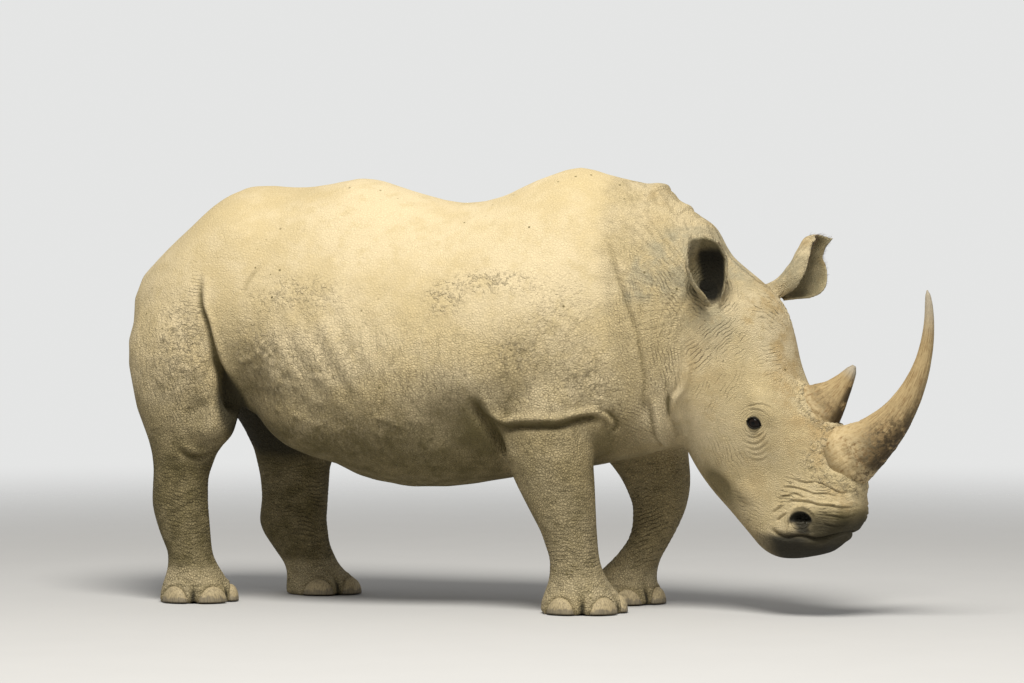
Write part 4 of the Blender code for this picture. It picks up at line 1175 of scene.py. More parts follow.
def part_lips(surface, places, normals, marks):
    """The slit between the lips and their dark skin."""
    right = in_frame("head", MOUTH, False)
    left = in_frame("head", MOUTH[:-1], True)
    line = snapped(surface, curve_through(np.vstack([right, left[::-1]])))
    which, signed, along = from_line(places, normals, line, 0.10)
    ends = smooth_step(along, 0, 0.06) * smooth_step(1 - along, 0, 0.06)
    slit = np.exp(-(signed / 0.0065) ** 2)
    swell = np.exp(-((np.abs(signed) - 0.020) / 0.014) ** 2)
    places[which] += normals[which] * ((0.005 * swell - 0.020 * slit) * ends)[:, None]
    dark = np.exp(-(signed / 0.030) ** 2)
    dark = dark * smooth_step(along, 0.0, 0.12) * smooth_step(1 - along, 0, 0.12)
    deepen(marks, "dark", dark * 0.85, which)
    deepen(marks, "wet", slit * 0.5, which)
    return places


def raise_collars(places, normals, in_head, marks):
    """Rolls of skin round the foot of each horn."""
    for horn in HORNS:
        along, above = horn.root
        radius = horn.taper[0][1]
        across = in_head[:, 1] / horn.flatness
        away = np.hypot(in_head[:, 0] - along, across) - radius
        upper = smooth_step(in_head[:, 2], above - 0.20, above - 0.10)
        roll = np.exp(-(np.clip(away, 0, None) / 0.024) ** 2) * upper
        crumbs = layered_noise(places, 0.016, 73, 3) * np.exp(-((away - 0.012) / 0.030) ** 2) * upper
        places += normals * (roll * 0.0150 + crumbs * 0.0060)[:, None]
        deepen(marks, "crusted", np.exp(-((away - 0.01) / 0.035) ** 2) * upper)
    return places


def nail_spot(leg, angle):
    """Where the middle of a nail stands on the floor's plan."""
    x, y, reach = FEET[leg]
    return (x + (reach - NAIL_INSET) * math.cos(angle),
            y - (reach * FOOT_BREADTH - NAIL_INSET) * math.sin(angle))


def part_toes(places, normals, marks):
    """Grooves between the toes, and a rim of skin over each nail."""
    for leg, (x, y, reach) in FEET.items():
        side = -1 if leg.endswith("right") else 1
        for turn in CLEFT_TURNS:
            angle = side * math.radians(turn - TOE_OUT[leg])
            heading = np.array((math.cos(angle), -math.sin(angle) * FOOT_BREADTH, 0))
            centre = np.array((x, y, 0)) + heading * reach
            offset = places - centre
            across = offset @ np.array((-heading[1], heading[0], 0))
            size = (across / 0.013) ** 2 + (np.clip(offset[:, 2] - 0.03, 0, None) / 0.045) ** 2
            ahead = np.abs(offset @ heading) < 0.09
            groove = np.exp(-size) * ahead
            places -= normals * (groove * 0.016)[:, None]
            # painted shadow in the groove between the toes
            deepen(marks, "hollow", groove * 0.9)
            deepen(marks, "dark", smooth_step(groove, 0.45, 0.95) * 0.85)
        for turn in NAIL_TURNS:
            angle = side * math.radians(turn - TOE_OUT[leg])
            centre = np.array((*nail_spot(leg, angle), 0))
            offset = places - centre
            around = np.sqrt((offset[:, 2] / 0.066) ** 2 + (
                (offset @ np.array((math.sin(angle), math.cos(angle), 0))) / 0.064) ** 2)
            ahead = smooth_step(np.linalg.norm(offset, axis=1), 0.13, 0.08)
            roll = np.exp(-((around - 1.16) / 0.12) ** 2) * ahead
            places += normals * (roll * 0.005)[:, None]
            # painted shade in the gap round each nail
            gap = np.exp(-((around - 1.0) / 0.05) ** 2) * ahead
            deepen(marks, "hollow", gap * 0.55)
    return places


def new_surface(mesh):
    surface = bpy.data.objects.new("surface", mesh)
    bpy.context.scene.collection.objects.link(surface)
    bpy.context.view_layer.update()
    return surface


def at_crown(places):
    return near(places, head_point(CROWN), CROWN_REACH) > 0


def fused_skin(look):
    """Flesh and ears fused into one skin: its mesh, its places and which solids they cover."""
    mesh = through(bare_flesh(), "REMESH", mode="VOXEL", voxel_size=look.form_cell)
    web = Web(mesh)
    places = places_of(mesh)
    slim = smooth_step(-places[:, 0], 1.44, 1.50)[:, None]  # the tail isn't softened away
    soft = web.soften(places, 10)
    put(mesh, web.calm(soft * (1 - slim) + places * slim, 26))
    mesh = joined(mesh, *(ear_leaf(shape) for shape in EARS))
    mesh = through(mesh, "REMESH", mode="VOXEL", voxel_size=look.skin_cell)
    web = Web(mesh)
    places = web.calm(places_of(mesh), 4)
    around_ears = sum(near(places, head_point(shape.root), 0.10) for shape in EARS)
    soft = web.soften(places, 10)
    places += (soft - places) * np.clip(around_ears * 1.6, 0, 1)[:, None]
    put(mesh, places)
    shares = owners(mesh, web)
    for name, values in shares.items():
        store(mesh, "of_" + name, values)
    return mesh, places, shares


def swelled(mesh, places, shares):
    """The skin with its muscles, bones and ribs, and a little uneven all over."""
    normals, in_head = normals_of(mesh), head_places(places)
    move = np.zeros(len(places))
    for where, centre, reach, height, sides in SWELLS:
        spots = in_head if where == "head" else places
        for side in (1, -1)[:sides]:
            move += near(spots, np.array(centre) * (1, side, 1), np.array(reach) * 1.6) * height
    flanks = sum(near(places, (-0.62, side * 0.48, 1.0), (0.48, 0.40, 0.32)) for side in (1, -1))
    ribs = np.cos((places[:, 0] + 0.6 * places[:, 2]) * 2 * np.pi / RIB_SPACING)
    move += flanks * ribs * 0.0035 * (1 + 0.5 * lattice_noise(places, 0.25, 5))
    trunk = shares["trunk"] + shares["neck"] * 0.5
    move += layered_noise(places, 0.15, 41) * 0.004 * trunk
    return places + normals * move[:, None]


def folded(where, mesh, places, depth):
    """The skin with the folds of head or body cut into it."""
    put(mesh, places)
    surface = new_surface(mesh)
    normals = normals_of(mesh)
    places += normals * carve_folds(where, surface, places, normals, depth)[:, None]
    bpy.data.objects.remove(surface)
    put(mesh, places)
    return places


def refined_head(mesh, places, head):
    """Finer faces on the head, and finer again round eyes and nostrils."""
    mesh = refine(mesh, (head > 0.5) | at_crown(places))
    in_head = head_places(places_of(mesh))
    detail = np.zeros(len(in_head), bool)
    for side in (-1, 1):
        for spot, reach in ((EYE_PLACE, .060), ((1.030, .155, -.200), .070)):
            detail |= np.sum((in_head - np.array(spot) * (1, side, 1)) ** 2, axis=1) < reach**2
    return refine(mesh, detail)


def muddied(places):
    """How much mud clings where, and the lumps it dries to."""
    mud = np.zeros(len(places))
    for centre, reach, amount in MUD:
        mud = np.maximum(mud, near(places, centre, np.array(reach) * 1.35) * amount)
    return mud, np.clip(layered_noise(places, 0.030, 53, 2) - 0.12, 0, 1) * mud


def sculpted_skin(look, eye_look):
    """The whole hide as one mesh, with everything that its finish reads stored on it."""
    mesh, places, shares = fused_skin(look)
    places = folded("body", mesh, swelled(mesh, places, shares), look.fold_depth)
    mesh = refined_head(mesh, places, shares["head"])
    web = Web(mesh)
    head = smooth_step(stored(mesh, "of_head"), 0.2, 0.6)[:, None]
    places = places_of(mesh)
    places += (web.soften(places, 2) - places) * head
    places = folded("head", mesh, places, look.fold_depth)
    normals = normals_of(mesh)
    marks = {name: np.zeros(len(places)) for name in ("dark", "wet", "crusted")}
    # painted shade in the hollows: places lying below the smoothed skin are darkened
    depth = np.sum((web.soften(places, 26) - places) * normals, axis=1)
    marks["hollow"] = smooth_step(web.soften(depth, 2), 0.0010, 0.0055)

    in_head = head_places(places)
    places += normals * carve_fields(places, in_head, look.wrinkle_depth)[:, None]
    mud, lumps = muddied(places)
    places += normals * (lumps * 0.015)[:, None]
    places = raise_collars(places, normals, in_head, marks)
    put(mesh, places)
    normals = normals_of(mesh)
    in_head = head_places(places)
    surface = new_surface(mesh)
    places = part_lips(surface, places, normals, marks)
    bpy.data.objects.remove(surface)
    places = open_nostrils(places, normals, in_head, marks)
    places = part_toes(places, normals, marks)
    places = open_lids(places, eye_look, marks)
    places[:, 2] = np.maximum(places[:, 2], 0.0)
    put(mesh, places)
    mark_hide(mesh, web, places, marks, np.clip(mud, 0, 1))

    mesh = thinned(mesh, stored(mesh, "of_head") + at_crown(places) < 0.5, look.body_triangles)
    face = stored(mesh, "of_head") + at_crown(places_of(mesh)) >= 0.5
    return thinned(mesh, face, look.head_triangles)


def body_shade(places, normals, trunk, leg, foot):
    """Shade under the belly, low on the trunk and down the legs."""
    below = smooth_step(-normals[:, 2], -0.1, 0.75)
    low = smooth_step(places[:, 2], 0.98, 0.62)
    hind = smooth_step(places[:, 0], -0.6, -0.8)
    shin = smooth_step(places[:, 2], 0.78, 0.52)
    shade = trunk * (0.40 * low + 0.75 * below) + foot * 0.30
    shade = shade * (1 - 0.55 * smooth_step(places[:, 0], 0.28, 0.42) * trunk)
    return shade + leg * (0.62 + hind * (0.58 * shin - 0.22))


def mark_lips(places, head, marks):
    """Dark lip skin, with painted shade on the lips' front and under the chin. Gives back how far each
    place is on the lips' front.
    """
    forward = (places[:, 0] - HEAD_PIVOT[0]) * HEADING[0] + places[:, 1] * HEADING[1]
    height = places[:, 2]
    front = smooth_step(forward, 0.44, 0.55) * smooth_step(height, 0.450, 0.385)
    deepen(marks, "dark", front * smooth_step(height, 0.425, 0.345) * head * 0.78)
    chin = smooth_step(height, 0.330, 0.300) * smooth_step(forward, 0.18, 0.39) * head
    bared = smooth_step(forward, 0.46, 0.54) * smooth_step(height, 0.255, 0.290)
    deepen(marks, "dark", chin * (0.985 - 0.16 * bared))
    return front


# Painted deep shade in the groin, under the belly, behind the jaw and elbow and inside the arms
def mark_painted_shade(places, in_head, marks):
    for where, centre, reach, amount, sides in PAINTED_SHADE:
        spots = in_head if where == "head" else places
        for side in (1, -1)[:sides]:
            painted_shadow = near(spots, np.array(centre) * (1, side, 1), np.array(reach) * 1.25) * 1.6 * amount
            deepen(marks, "hollow", np.clip(painted_shadow, 0, min(amount, 1)))
            deepen(marks, "dark", np.clip(painted_shadow, 0, max(amount - 1, 0)))


def mark_ears(places, normals, in_head, marks):
    """Painted shade inside the ears, darkest at their mouth and where the cup is not lit. Gives back how
    grey each place is for being on an ear.
    """
    grey = np.zeros(len(places))
    for shape in EARS:
        root, axis, facing, aside = (np.array(v) for v in ear_axes(shape))
        offset = places - root
        run = (offset @ axis) / (axis @ axis)
        on_ear = smooth_step(run, 0.05, 0.25) * (np.linalg.norm(offset, axis=1) < 0.34)
        shares, radii, spans = (np.array(v) for v in zip(*shape.cup))
        radius = np.interp(run, shares, radii)
        bowed = (shape.bow * np.sin(np.pi * np.clip(run * 1.1, 0, 1)))[:, None] * facing
        middle = root + run[:, None] * axis + bowed
        away = np.linalg.norm(places - middle, axis=1)
        looks_in = np.sum(normals * (middle - places), axis=1) / np.maximum(away, 1e-6)
        inner = smooth_step(looks_in, 0.0, 0.5) * on_ear * (away < radius * 1.3 + 0.04)
        across = np.arctan2((places - middle) @ aside, (middle - places) @ facing)
        across = across / np.radians(np.interp(run, shares, spans))
        lit = smooth_step(np.abs(across - 0.34 * (shape.side < 0)), 0.36, 0.62)
        lit = lit * smooth_step(run, 0.10, 0.30)
        deep = inner * smooth_step(run, 0.90, 0.72) * (1 - lit)
        mouth = near(in_head, (0.125, -0.190, 0.045), (.075, .050, .060)) * 2.5
        deepen(marks, "dark", mouth * shape.deep)
        deepen(marks, "dark", deep * 0.97 * shape.deep)
        dirt_and_shade = (0.38 + 0.40 * (1 - lit)) * shape.deep + (0.55 + 0.30 * (1 - lit)) * (1 - shape.deep)
        deepen(marks, "hollow", inner * dirt_and_shade)
        grey = np.maximum(grey, on_ear * 0.75)
    return grey


def ear_fan(in_head):
    """Coordinates that fan out behind the foot of each ear, turn then distance, and their share."""
    fan, share_behind = np.zeros((len(in_head), 3)), np.zeros(len(in_head))
    for shape in EARS:
        root = np.array(shape.root)
        mine = (in_head[:, 1] < 0) if root[1] < 0 else (in_head[:, 1] >= 0)
        offset = (in_head - root * (1, 0.9, 1))[mine]
        away = np.hypot(offset[:, 0], offset[:, 2]) + 1e-6
        turn = np.arctan2(-offset[:, 2], -offset[:, 0])
        fan[mine] = np.stack([turn * 24.0, away * 9.0, offset[:, 1] * 20.0], axis=1)
        share_behind[mine] = smooth_step(-offset[:, 0] / away, -0.40, 0.20)
    return fan, share_behind


def mark_hide(mesh, web, places, marks, mud):
    """Stores what the hide's finish reads: where dark skin and painted shade go, and where it is grey,
    muddy or wrinkled.
    """
    in_head, normals = head_places(places), normals_of(mesh)
    head, neck, leg, foot, trunk, tail = (
        stored(mesh, "of_" + name) for name in ("head", "neck", "leg", "foot", "trunk", "tail"))
    front = mark_lips(places, head, marks)
    mark_painted_shade(places, in_head, marks)
    grey = mark_ears(places, normals, in_head, marks)
    jaw = smooth_step(in_head[:, 2], -0.26, -0.42) * head
    shade = np.clip(body_shade(places, normals, trunk, leg, foot), 0, 1)
    shade = np.maximum(shade, np.clip(front * 1.0 + jaw * 0.12, 0, 1) * head)
    muzzle = smooth_step(in_head[:, 0], 0.86, 1.06) * head
    front_neck = neck * smooth_step(places[:, 0] + 0.25 * (places[:, 2] - 1.2), 0.28, 0.62)
    below_ear = sum(
        near(in_head, np.array((.19, side * .19, -.04)), (.20, .12, .17)) for side in (-1, 1)
    )
    grey = grey + below_ear * 0.6 + foot * 0.2 + head * 0.12 + 0.08
    rust = (
        head * smooth_step(in_head[:, 2], -0.12, 0.10) * 0.8 + head * 0.42
        + near(places, (0.62, 0, 1.55), (0.30, 0.25, 0.25)) * 0.8 + muzzle * 0.2)
    legs = np.clip(leg + foot, 0, 1)
    side = smooth_step(np.abs(normals[:, 1]), 0.25, 0.7)
    upright = trunk * side * smooth_step(places[:, 2], 1.30, 0.85) * 0.8 + front_neck * 0.35
    level = legs * 0.60 + muzzle * 0.45 + tail * 0.6
    lower = smooth_step(places[:, 2], 1.30, 0.70)
    pebbled = (
        trunk * (0.30 + 0.55 * lower) + legs * 1.0 + head * 0.12 + jaw * 0.35
        + neck * (0.40 + 0.45 * lower))
    fine = head * (1 - muzzle) * 0.9 + neck * 0.7 + muzzle * 0.5 + foot * 0.4
    fanned = np.clip(front_neck * 0.75 + head * smooth_step(in_head[:, 0], 0.48, 0.25) * 0.7, 0, 1)
    fan, share_behind = ear_fan(in_head)
    attribute = mesh.attributes.new("fan", "FLOAT_VECTOR", "POINT")
    attribute.data.foreach_set("vector", np.ascontiguousarray(fan, np.float32).ravel())
    wave, furrow = strongest_waves(places, in_head)
    store(mesh, "wave", wave)
    store(mesh, "furrow", furrow)
    store(mesh, "hollow", web.soften(marks["hollow"], 1))
    store(mesh, "dark", np.clip(marks["dark"], 0, 1))
    store(mesh, "wet", np.clip(marks["wet"], 0, 1))
    for name, values in (
        ("shade", shade), ("mud", np.maximum(mud, marks["crusted"])), ("grey", grey), ("rust", rust),
        ("upright", upright), ("level", level), ("pebbled", pebbled), ("fine", fine),
        ("fanned", fanned * share_behind),
    ):
        store(mesh, name, web.soften(np.clip(values, 0, 1), 4))


def horn_station(horn, run):
    """Where a horn's middle is at a share of its length, its heading and radius."""
    along, above = horn.root
    if run < 0:
        return (along + run * HORN_ROOT * math.sin(horn.lean),
                above + run * HORN_ROOT * math.cos(horn.lean), horn.lean, horn.taper[0][1])
    for k in range(int(run * HORN_STEPS)):
        heading = horn.lean - horn.bend * max((k + 0.5) / HORN_STEPS - HORN_STRAIGHT, 0)
        along += horn.length / HORN_STEPS * math.sin(heading)
        above += horn.length / HORN_STEPS * math.cos(heading)
    shares, radii = zip(*horn.taper)
    return along, above, horn.lean - horn.bend * run, float(np.interp(run, shares, radii))


def horn_matrix(horn, run):
    """Carries a circle of radius 1 to its station on the horn."""
    along, above, heading, radius = horn_station(horn, run)
    return (
        HEAD_FRAME @ Matrix.Translation((along, 0, above))
        @ Matrix.Rotation(heading, 4, "Y") @ Matrix.Diagonal((radius, radius * horn.flatness, radius, 1))
    )


def horn_mesh(horn, look):
    """A horn drawn out ring by ring, then grooved along its fibres."""
    form = bmesh.new()
    fibre = form.verts.layers.float_vector.new("fibre")
    made = bmesh.ops.create_circle(form, segments=look.sides, radius=1, cap_ends=False)
    ring = made["verts"]
    flat = {vertex: vertex.co.copy() for vertex in ring}
    edges = list({edge for vertex in ring for edge in vertex.link_edges})
    runs = [-1.0] + [(k / look.rings) for k in range(look.rings + 1)]
    for k, run in enumerate(runs):
        place = horn_matrix(horn, run)
        if k:
            grown = bmesh.ops.extrude_edge_only(form, edges=edges)
            fresh = [item for item in grown["geom"] if isinstance(item, bmesh.types.BMVert)]
            edges = [item for item in grown["geom"] if isinstance(item, bmesh.types.BMEdge)]
            back = horn_matrix(horn, runs[k - 1]).inverted()
            flat = {vertex: back @ vertex.co for vertex in fresh}
            edges = [edge for edge in edges if edge.verts[0] in flat and edge.verts[1] in flat]
        for vertex, spot in flat.items():
            vertex.co = place @ spot
            vertex[fibre] = (spot.x, spot.y, max(run, 0.0) * horn.length * 10)
    bmesh.ops.holes_fill(form, edges=form.edges, sides=0)
    bmesh.ops.recalc_face_normals(form, faces=form.faces)
    mesh = mesh_of(form, horn.name)
    values = np.empty(len(mesh.vertices) * 3, np.float32)
    mesh.attributes["fibre"].data.foreach_get("vector", values)
    fibres = values.reshape(-1, 3).astype(float)
    places, normals = places_of(mesh), normals_of(mesh)
    run = fibres[:, 2] / 10 / horn.length
    round_it = fibres * (6.0, 6.0, 0.5)
    grooves = layered_noise(round_it, 1.0, 61, 3)
    rings = layered_noise(fibres * (0.8, 0.8, 2.4), 1.0, 67, 2)
    worn = smooth_step(run, 0.75, 0.15)
    rough = layered_noise(places, 0.018, 71, 3) * smooth_step(run, 0.30, 0.03) * 1.6
    move = grooves * look.fibre_depth * (0.5 + worn) + rings * 0.0016 * worn + rough * 0.0034
    taper = smooth_step(run, 1.0, 0.9)
    places += normals * (move * (0.25 + 0.75 * taper))[:, None]
    put(mesh, places)
    front = smooth_step(fibres[:, 0], 0.55, 0.95)
    if horn.name == "front_horn":
        ahead = smooth_step(fibres[:, 0], -0.9, 0.5)
        soiled = smooth_step(run, 0.50, 0.16) * ahead * smooth_step(run, 0.0, 0.06)
        front = front * smooth_step(run, 0.66, 0.25) * 0.9
    else:
        soiled = smooth_step(run, 0.6, 0.0) * 0.55
    store(mesh, "soiled", soiled)
    foot_dust = smooth_step(run, 0.26, 0.02) * smooth_step(fibres[:, 0], 0.95, 0.1)
    store(mesh, "dusted", np.maximum(foot_dust, smooth_step(run, 0.09, 0.03)))
    store(mesh, "paled", smooth_step(run, 0.72, 0.96))
    store(mesh, "front_edge", front)
    return mesh


def nail_mesh(leg):
    """The three nails of a foot: low ridged domes with level bottoms."""
    side = -1 if leg.endswith("right") else 1
    nails = []
    for turn in NAIL_TURNS:
        angle = side * math.radians(turn - TOE_OUT[leg])
        centre = (*nail_spot(leg, angle), NAIL_LIFT)
        form = bmesh.new()
        bmesh.ops.create_uvsphere(form, u_segments=48, v_segments=28, radius=1)
        for vertex in form.verts:
            bearing = math.atan2(vertex.co.y, vertex.co.x)
            ridge = math.sin(bearing * 23 + 2 * math.sin(bearing * 5)) * math.sin(bearing * 9)
            vertex.co *= 1 + 0.014 * ridge * (1 - abs(vertex.co.z) ** 4)
            vertex.co.z *= 1 - 0.10 * vertex.co.y**2
        place = Matrix.LocRotScale(centre, Matrix.Rotation(-angle, 3, "Z"), NAIL_SIZE)
        bmesh.ops.transform(form, matrix=place, verts=form.verts)
        bmesh.ops.bisect_plane(
            form, geom=form.verts[:] + form.edges[:] + form.faces[:], plane_co=(0, 0, NAIL_LIFT),
            plane_no=(0, 0, 1), clear_inner=True, clear_outer=False, dist=1e-6,
        )
        bmesh.ops.holes_fill(form, edges=form.edges, sides=0)
        bmesh.ops.recalc_face_normals(form, faces=form.faces)
        nails.append(mesh_of(form, leg))
    return joined(*nails)


def eyeball_mesh(node):
    centre, facing, _, _ = eye_axes(node)
    form = bmesh.new()
    bmesh.ops.create_uvsphere(form, u_segments=48, v_segments=32, radius=EYE_RADIUS)
    gaze = form.verts.layers.float.new("gaze")
    for vertex in form.verts:
        vertex[gaze] = vertex.co.angle(Vector((0, 0, 1)), 0.0)
    turn = facing.to_track_quat("Z", "Y").to_matrix().to_4x4()
    bmesh.ops.transform(form, matrix=Matrix.Translation(centre) @ turn, verts=form.verts)
    return mesh_of(form, node)


# ---------------------------------------------------------------------------
# Hair
# ---------------------------------------------------------------------------
Strand = namedtuple("Strand", "root heading bend length thickness patch")
PATCH = 0.003  # how far one strand's colours reach on the unwrap of the skin


def strands_mesh(strands, name, segments=5):
    """Bristles, each a three-sided cone bent over, in one mesh."""
    cone = bmesh.new()
    bmesh.ops.create_cone(cone, cap_ends=True, segments=3, radius1=1.0, radius2=0.25, depth=1.0)
    sides = [edge for edge in cone.edges if abs(edge.verts[0].co.z - edge.verts[1].co.z) > 0.5]
    bmesh.ops.subdivide_edges(cone, edges=sides, cuts=segments - 1)
    bmesh.ops.recalc_face_normals(cone, faces=cone.faces)
    single = mesh_of(cone, "single")
    form = bmesh.new()
    tip = form.verts.layers.float.new("tip")
    unwrap = form.loops.layers.uv.new("OFBake")
    for strand in strands:
        first_vertex, first_face = len(form.verts), len(form.faces)
        form.from_mesh(single)
        form.verts.ensure_lookup_table()
        form.faces.ensure_lookup_table()
        heading = strand.heading.normalized()
        aside = heading.orthogonal().normalized()
        other = heading.cross(aside)
        for vertex in form.verts[first_vertex:]:
            run = vertex.co.z + 0.5
            vertex[tip] = run
            width = strand.thickness / 2 * (1 - 0.75 * run)
            size = math.hypot(vertex.co.x, vertex.co.y) or 1.0
            spread = (aside * vertex.co.x + other * vertex.co.y) / size * width
            vertex.co = strand.root + heading * strand.length * run + strand.bend * run**2 + spread
        u, v = strand.patch
        for face in form.faces[first_face:]:
            for k, loop in enumerate(face.loops):
                loop[unwrap].uv = (u + PATCH * (k % 2), v + PATCH * loop.vert[tip])
    bpy.data.meshes.remove(single)
    return mesh_of(form, name)


def on_skin(skin, place):
    """The skin's nearest place."""
    return skin.closest_point_on_mesh(place)[1]


def ear_fringe(shape, skin, look, chance):
    """Short hairs round an ear's rim, longest at the tip."""
    axis = ear_axes(shape)[1].normalized()
    strands = []
    for _ in range(look.ear_strands):
        run = 1 - 0.62 * chance.random() ** 1.6
        side = -1 if chance.random() < 0.5 else 1
        edge = side * (1 - 0.10 * chance.random())
        if run > 0.93:
            edge = chance.uniform(-1, 1)
        spot = on_skin(skin, ear_place(shape, run, edge))
        outward = (ear_place(shape, run, edge) - ear_place(shape, run - 0.05, edge * 0.8)).normalized()
        heading = (outward + axis * 0.7 + Vector(chance.normal(0, 0.28, 3))).normalized()
        size = look.ear_length * (0.30 + 0.70 * smooth_step(np.array(run), 0.45, 1.0))
        size = float(size) * chance.uniform(0.6, 1.1)
        droop = Vector((0, 0, -0.15 * size)) + Vector(chance.normal(0, 0.12 * size, 3))
        patch = (0.5 + 0.45 * edge * (1 - 0.5 * run), 0.05 + 0.9 * run)
        strands.append(Strand(spot - heading * 0.002, heading, droop, size, look.thickness * 0.6, patch))
    return strands


def lash_strands(node, skin, look, chance):
    """Sparse upper lashes."""
    centre, facing, long_way, short_way = eye_axes(node)
    strands = []
    for k in range(look.lashes):
        u = look.lid_width * (1.7 * (k + chance.uniform(-0.3, 0.3)) / (look.lashes - 1) - 0.85)
        v = look.lid_height * 1.05 * (1 - abs(u / look.lid_width) ** 2.2) + 0.0012
        height = math.sqrt(max((EYE_RADIUS + 0.003) ** 2 - u * u - v * v, 1e-6))
        spot = on_skin(skin, centre + long_way * u + short_way * v + facing * height)
        heading = (facing + short_way * 0.25 + long_way * (u / look.lid_width * 0.5)).normalized()
        size = look.lash_length * chance.uniform(0.6, 1.0)
        bend = (short_way * 0.35 - Vector((0, 0, 0.2))) * size
        strands.append(Strand(spot - heading * 0.001, heading, bend, size, 0.0007, (
            0.05 + 0.9 * k / look.lashes, 0.5)))
    return strands


def tail_strands(look, chance):
    """The tuft's coarse bristles, rooted round the end of the tail."""
    heights, forward, aside, widths = (np.array(v) for v in zip(*TUFT))
    strands = []
    for _ in range(look.tail_strands):
        turn = chance.uniform(0, 2 * math.pi)
        top = chance.uniform(0.60, 0.78)
        low = max(0.445, top - chance.uniform(0.14, 0.26))

        def spot(height, spread):
            x = np.interp(-height, -heights, forward)
            y = np.interp(-height, -heights, aside)
            width = np.interp(-height, -heights, widths) * spread
            return Vector((x + width * math.cos(turn), y + width * math.sin(turn), height))

        if top > 0.66:  # rooted on the stem above the tuft
            lift = (top - 0.66) / 0.14
            middle = Vector((forward[0] - 0.033 * lift, aside[0] - 0.003 * lift, top))
            root = middle + Vector((math.cos(turn), math.sin(turn), 0)) * (0.017 + 0.002 * lift)
        else:
            root = spot(top, 0.55)
        half = (top + low) / 2
        through_point, end = spot(half, chance.uniform(0.7, 1.0)), spot(low, chance.uniform(0.1, 0.95))
        bend = (end + root - through_point * 2) * 2
        run = end - root - bend
        strands.append(Strand(
            root, run, bend, run.length, look.thickness * chance.uniform(0.8, 1.3),
            (0.05 + 0.9 * turn / (2 * math.pi), 0.05 + 0.9 * (top - 0.60) / 0.18),
        ))
    return strands


# ---------------------------------------------------------------------------
# Operators
# ---------------------------------------------------------------------------
class RHINO_OT_hide(bpy.types.Operator):
    """One skin over all the flesh, with its folds, lids, nostrils and lips"""
    bl_idname = "rhino.hide"
    bl_label = "Hide"

    def execute(self, context):
        scene = context.scene
        mesh = sculpted_skin(scene.rhino_hide, scene.rhino_eye)
        finished("hide", mesh, hide_finish(scene.rhino_hide), "hide", *FLESH, *EAR_NODES)
        return {"FINISHED"}


class RHINO_OT_eyes(bpy.types.Operator):
    """Both eyeballs"""
    bl_idname = "rhino.eyes"
    bl_label = "Eyes"

    def execute(self, context):
        finish = eye_finish(context.scene.rhino_eye)
        for node in EYE_NODES:
            finished(node.replace("eye", "eyeball"), eyeball_mesh(node), finish, "eye", node)
        return {"FINISHED"}


class RHINO_OT_horns(bpy.types.Operator):
    """Front and rear horn"""
    bl_idname = "rhino.horns"
    bl_label = "Horns"

    def execute(self, context):
        look = context.scene.rhino_horn
        finish = horn_finish(look)
        for horn in HORNS:
            finished(f"fibrous_{horn.name}", horn_mesh(horn, look), finish, "horn", horn.name)
        return {"FINISHED"}


class RHINO_OT_toenails(bpy.types.Operator):
    """Three nails on each foot"""
    bl_idname = "rhino.toenails"
    bl_label = "Toenails"

    def execute(self, context):
        finish = nail_finish(context.scene.rhino_nail)
        for leg in FEET:
            nodes = [node for node in NAIL_NODES if node.startswith(leg)]
            finished(f"{leg}_toenails", nail_mesh(leg), finish, "nail", *nodes)
        return {"FINISHED"}


class RHINO_OT_hair(bpy.types.Operator):
    """Ear fringes, lashes and the tail's bristles"""
    bl_idname = "rhino.hair"
    bl_label = "Hair"

    def execute(self, context):
        scene = context.scene
        look = scene.rhino_hair
        skin = scene.objects["hide"]
        chance = np.random.default_rng(7)
        fringe = hair_finish("ear_hair", look, look.russet)
        lashes = hair_finish("lash_hair", look, look.black)
        for shape in EARS:
            mesh = strands_mesh(ear_fringe(shape, skin, look, chance), shape.name, 3)
            finished(f"{shape.name}_fringe", mesh, fringe, "tail_hair")
        for node in EYE_NODES:
            mesh = strands_mesh(lash_strands(node, skin, scene.rhino_eye, chance), node, 3)
            finished(node.replace("eye", "lashes"), mesh, lashes, "tail_hair")
        mesh = strands_mesh(tail_strands(look, chance), "tail_bristles")
        finished("tail_bristles", mesh, hair_finish("tail_hair", look, BRISTLE_END),
                 "tail_hair", "tail_tuft")
        return {"FINISHED"}


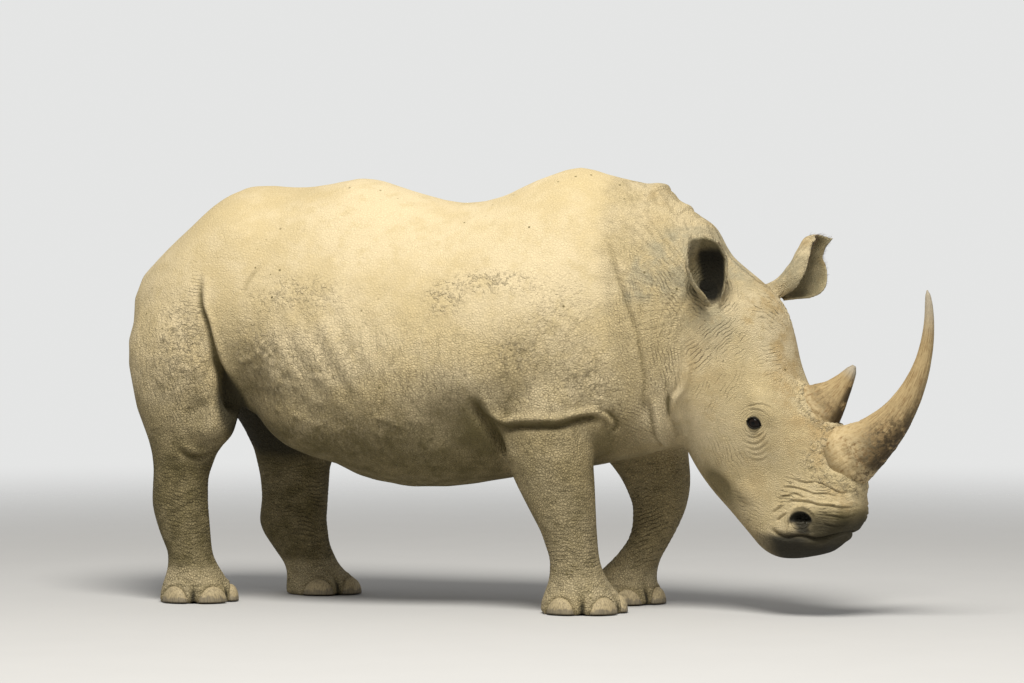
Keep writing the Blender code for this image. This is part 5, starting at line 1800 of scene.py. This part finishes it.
class RHINO_OT_stage(bpy.types.Operator):
    """Pale floor, soft light and the camera"""
    bl_idname = "rhino.stage"
    bl_label = "Stage"

    def execute(self, context):
        scene, look = context.scene, context.scene.rhino_stage
        form = bmesh.new()
        bmesh.ops.create_circle(form, cap_ends=True, segments=96, radius=FLOOR_RADIUS)
        floor = bpy.data.objects.new("floor", mesh_of(form, "floor"))
        floor.data.materials.append(floor_finish(look))
        scene.collection.objects.link(floor)
        floor.location.z = -0.001
        floor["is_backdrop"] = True

        world = bpy.data.worlds.new("studio_air")
        world.use_nodes = True
        air = world.node_tree
        soft, seen = air.nodes["Background"], air.nodes.new("ShaderNodeBackground")
        soft.inputs["Color"].default_value = (0.97, 0.98, 1.0, 1)
        soft.inputs["Strength"].default_value = look.surround
        seen.inputs["Color"].default_value = (*look.backdrop, 1)
        path, blend = air.nodes.new("ShaderNodeLightPath"), air.nodes.new("ShaderNodeMixShader")
        air.links.new(path.outputs["Is Camera Ray"], blend.inputs["Fac"])
        air.links.new(soft.outputs[0], blend.inputs[1])
        air.links.new(seen.outputs[0], blend.inputs[2])
        air.links.new(blend.outputs[0], air.nodes["World Output"].inputs["Surface"])
        scene.world = world
        scene.view_settings.view_transform = "Standard"

        lamp = bpy.data.lights.new("overhead", "AREA")
        lamp.shape = "DISK"
        lamp.size = LAMP_SIZE
        lamp.energy = look.key
        lamp.color = (1.0, 0.985, 0.95)
        holder = bpy.data.objects.new("overhead", lamp)
        holder.location = LAMP_PLACE
        aim = LAMP_AIM - holder.location
        holder.rotation_euler = aim.to_track_quat("-Z", "Y").to_euler()
        scene.collection.objects.link(holder)

        lens = bpy.data.cameras.new("camera")
        lens.lens = look.lens
        lens.sensor_width = 36
        lens.clip_end = 200
        camera = bpy.data.objects.new("camera", lens)
        camera.location = look.camera
        camera.rotation_euler = (math.pi / 2 - look.pitch, 0, look.heading)
        scene.collection.objects.link(camera)
        scene.camera = camera
        return {"FINISHED"}


class RHINO_PT_model(bpy.types.Panel):
    """Settings and pieces of the rhinoceros"""
    bl_idname = "RHINO_PT_model"
    bl_label = "White Rhinoceros"
    bl_space_type = "VIEW_3D"
    bl_region_type = "UI"
    bl_category = "Rhinoceros"

    def draw(self, context):
        for name, group in SETTINGS.items():
            box = self.layout.box()
            box.label(text=name.replace("rhino_", "").title())
            settings = getattr(context.scene, name)
            for prop in group.__annotations__:
                box.prop(settings, prop)
        for operator in OPERATORS:
            self.layout.operator(operator.bl_idname)


SETTINGS = {
    "rhino_hide": HideSettings, "rhino_eye": EyeSettings, "rhino_horn": HornSettings,
    "rhino_nail": NailSettings, "rhino_hair": HairSettings, "rhino_stage": StageSettings,
}
OPERATORS = (
    RHINO_OT_hide, RHINO_OT_eyes, RHINO_OT_horns, RHINO_OT_toenails, RHINO_OT_hair, RHINO_OT_stage,
)


def register():
    for group in (*SETTINGS.values(), *OPERATORS, RHINO_PT_model):
        bpy.utils.register_class(group)
    for name, group in SETTINGS.items():
        setattr(bpy.types.Scene, name, PointerProperty(type=group))


def unregister():
    for name in SETTINGS:
        delattr(bpy.types.Scene, name)
    for group in reversed((*SETTINGS.values(), *OPERATORS, RHINO_PT_model)):
        bpy.utils.unregister_class(group)


def main():
    register()
    for operator in (
        bpy.ops.rhino.hide, bpy.ops.rhino.eyes, bpy.ops.rhino.horns, bpy.ops.rhino.toenails,
        bpy.ops.rhino.hair, bpy.ops.rhino.stage,
    ):
        operator()
    sizes = {"cad": CAD_BOX, "visual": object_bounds()}
    {key: [list(low), list(high)] for key, (low, high) in sizes.items()}


if __name__ == "__main__":
    main()
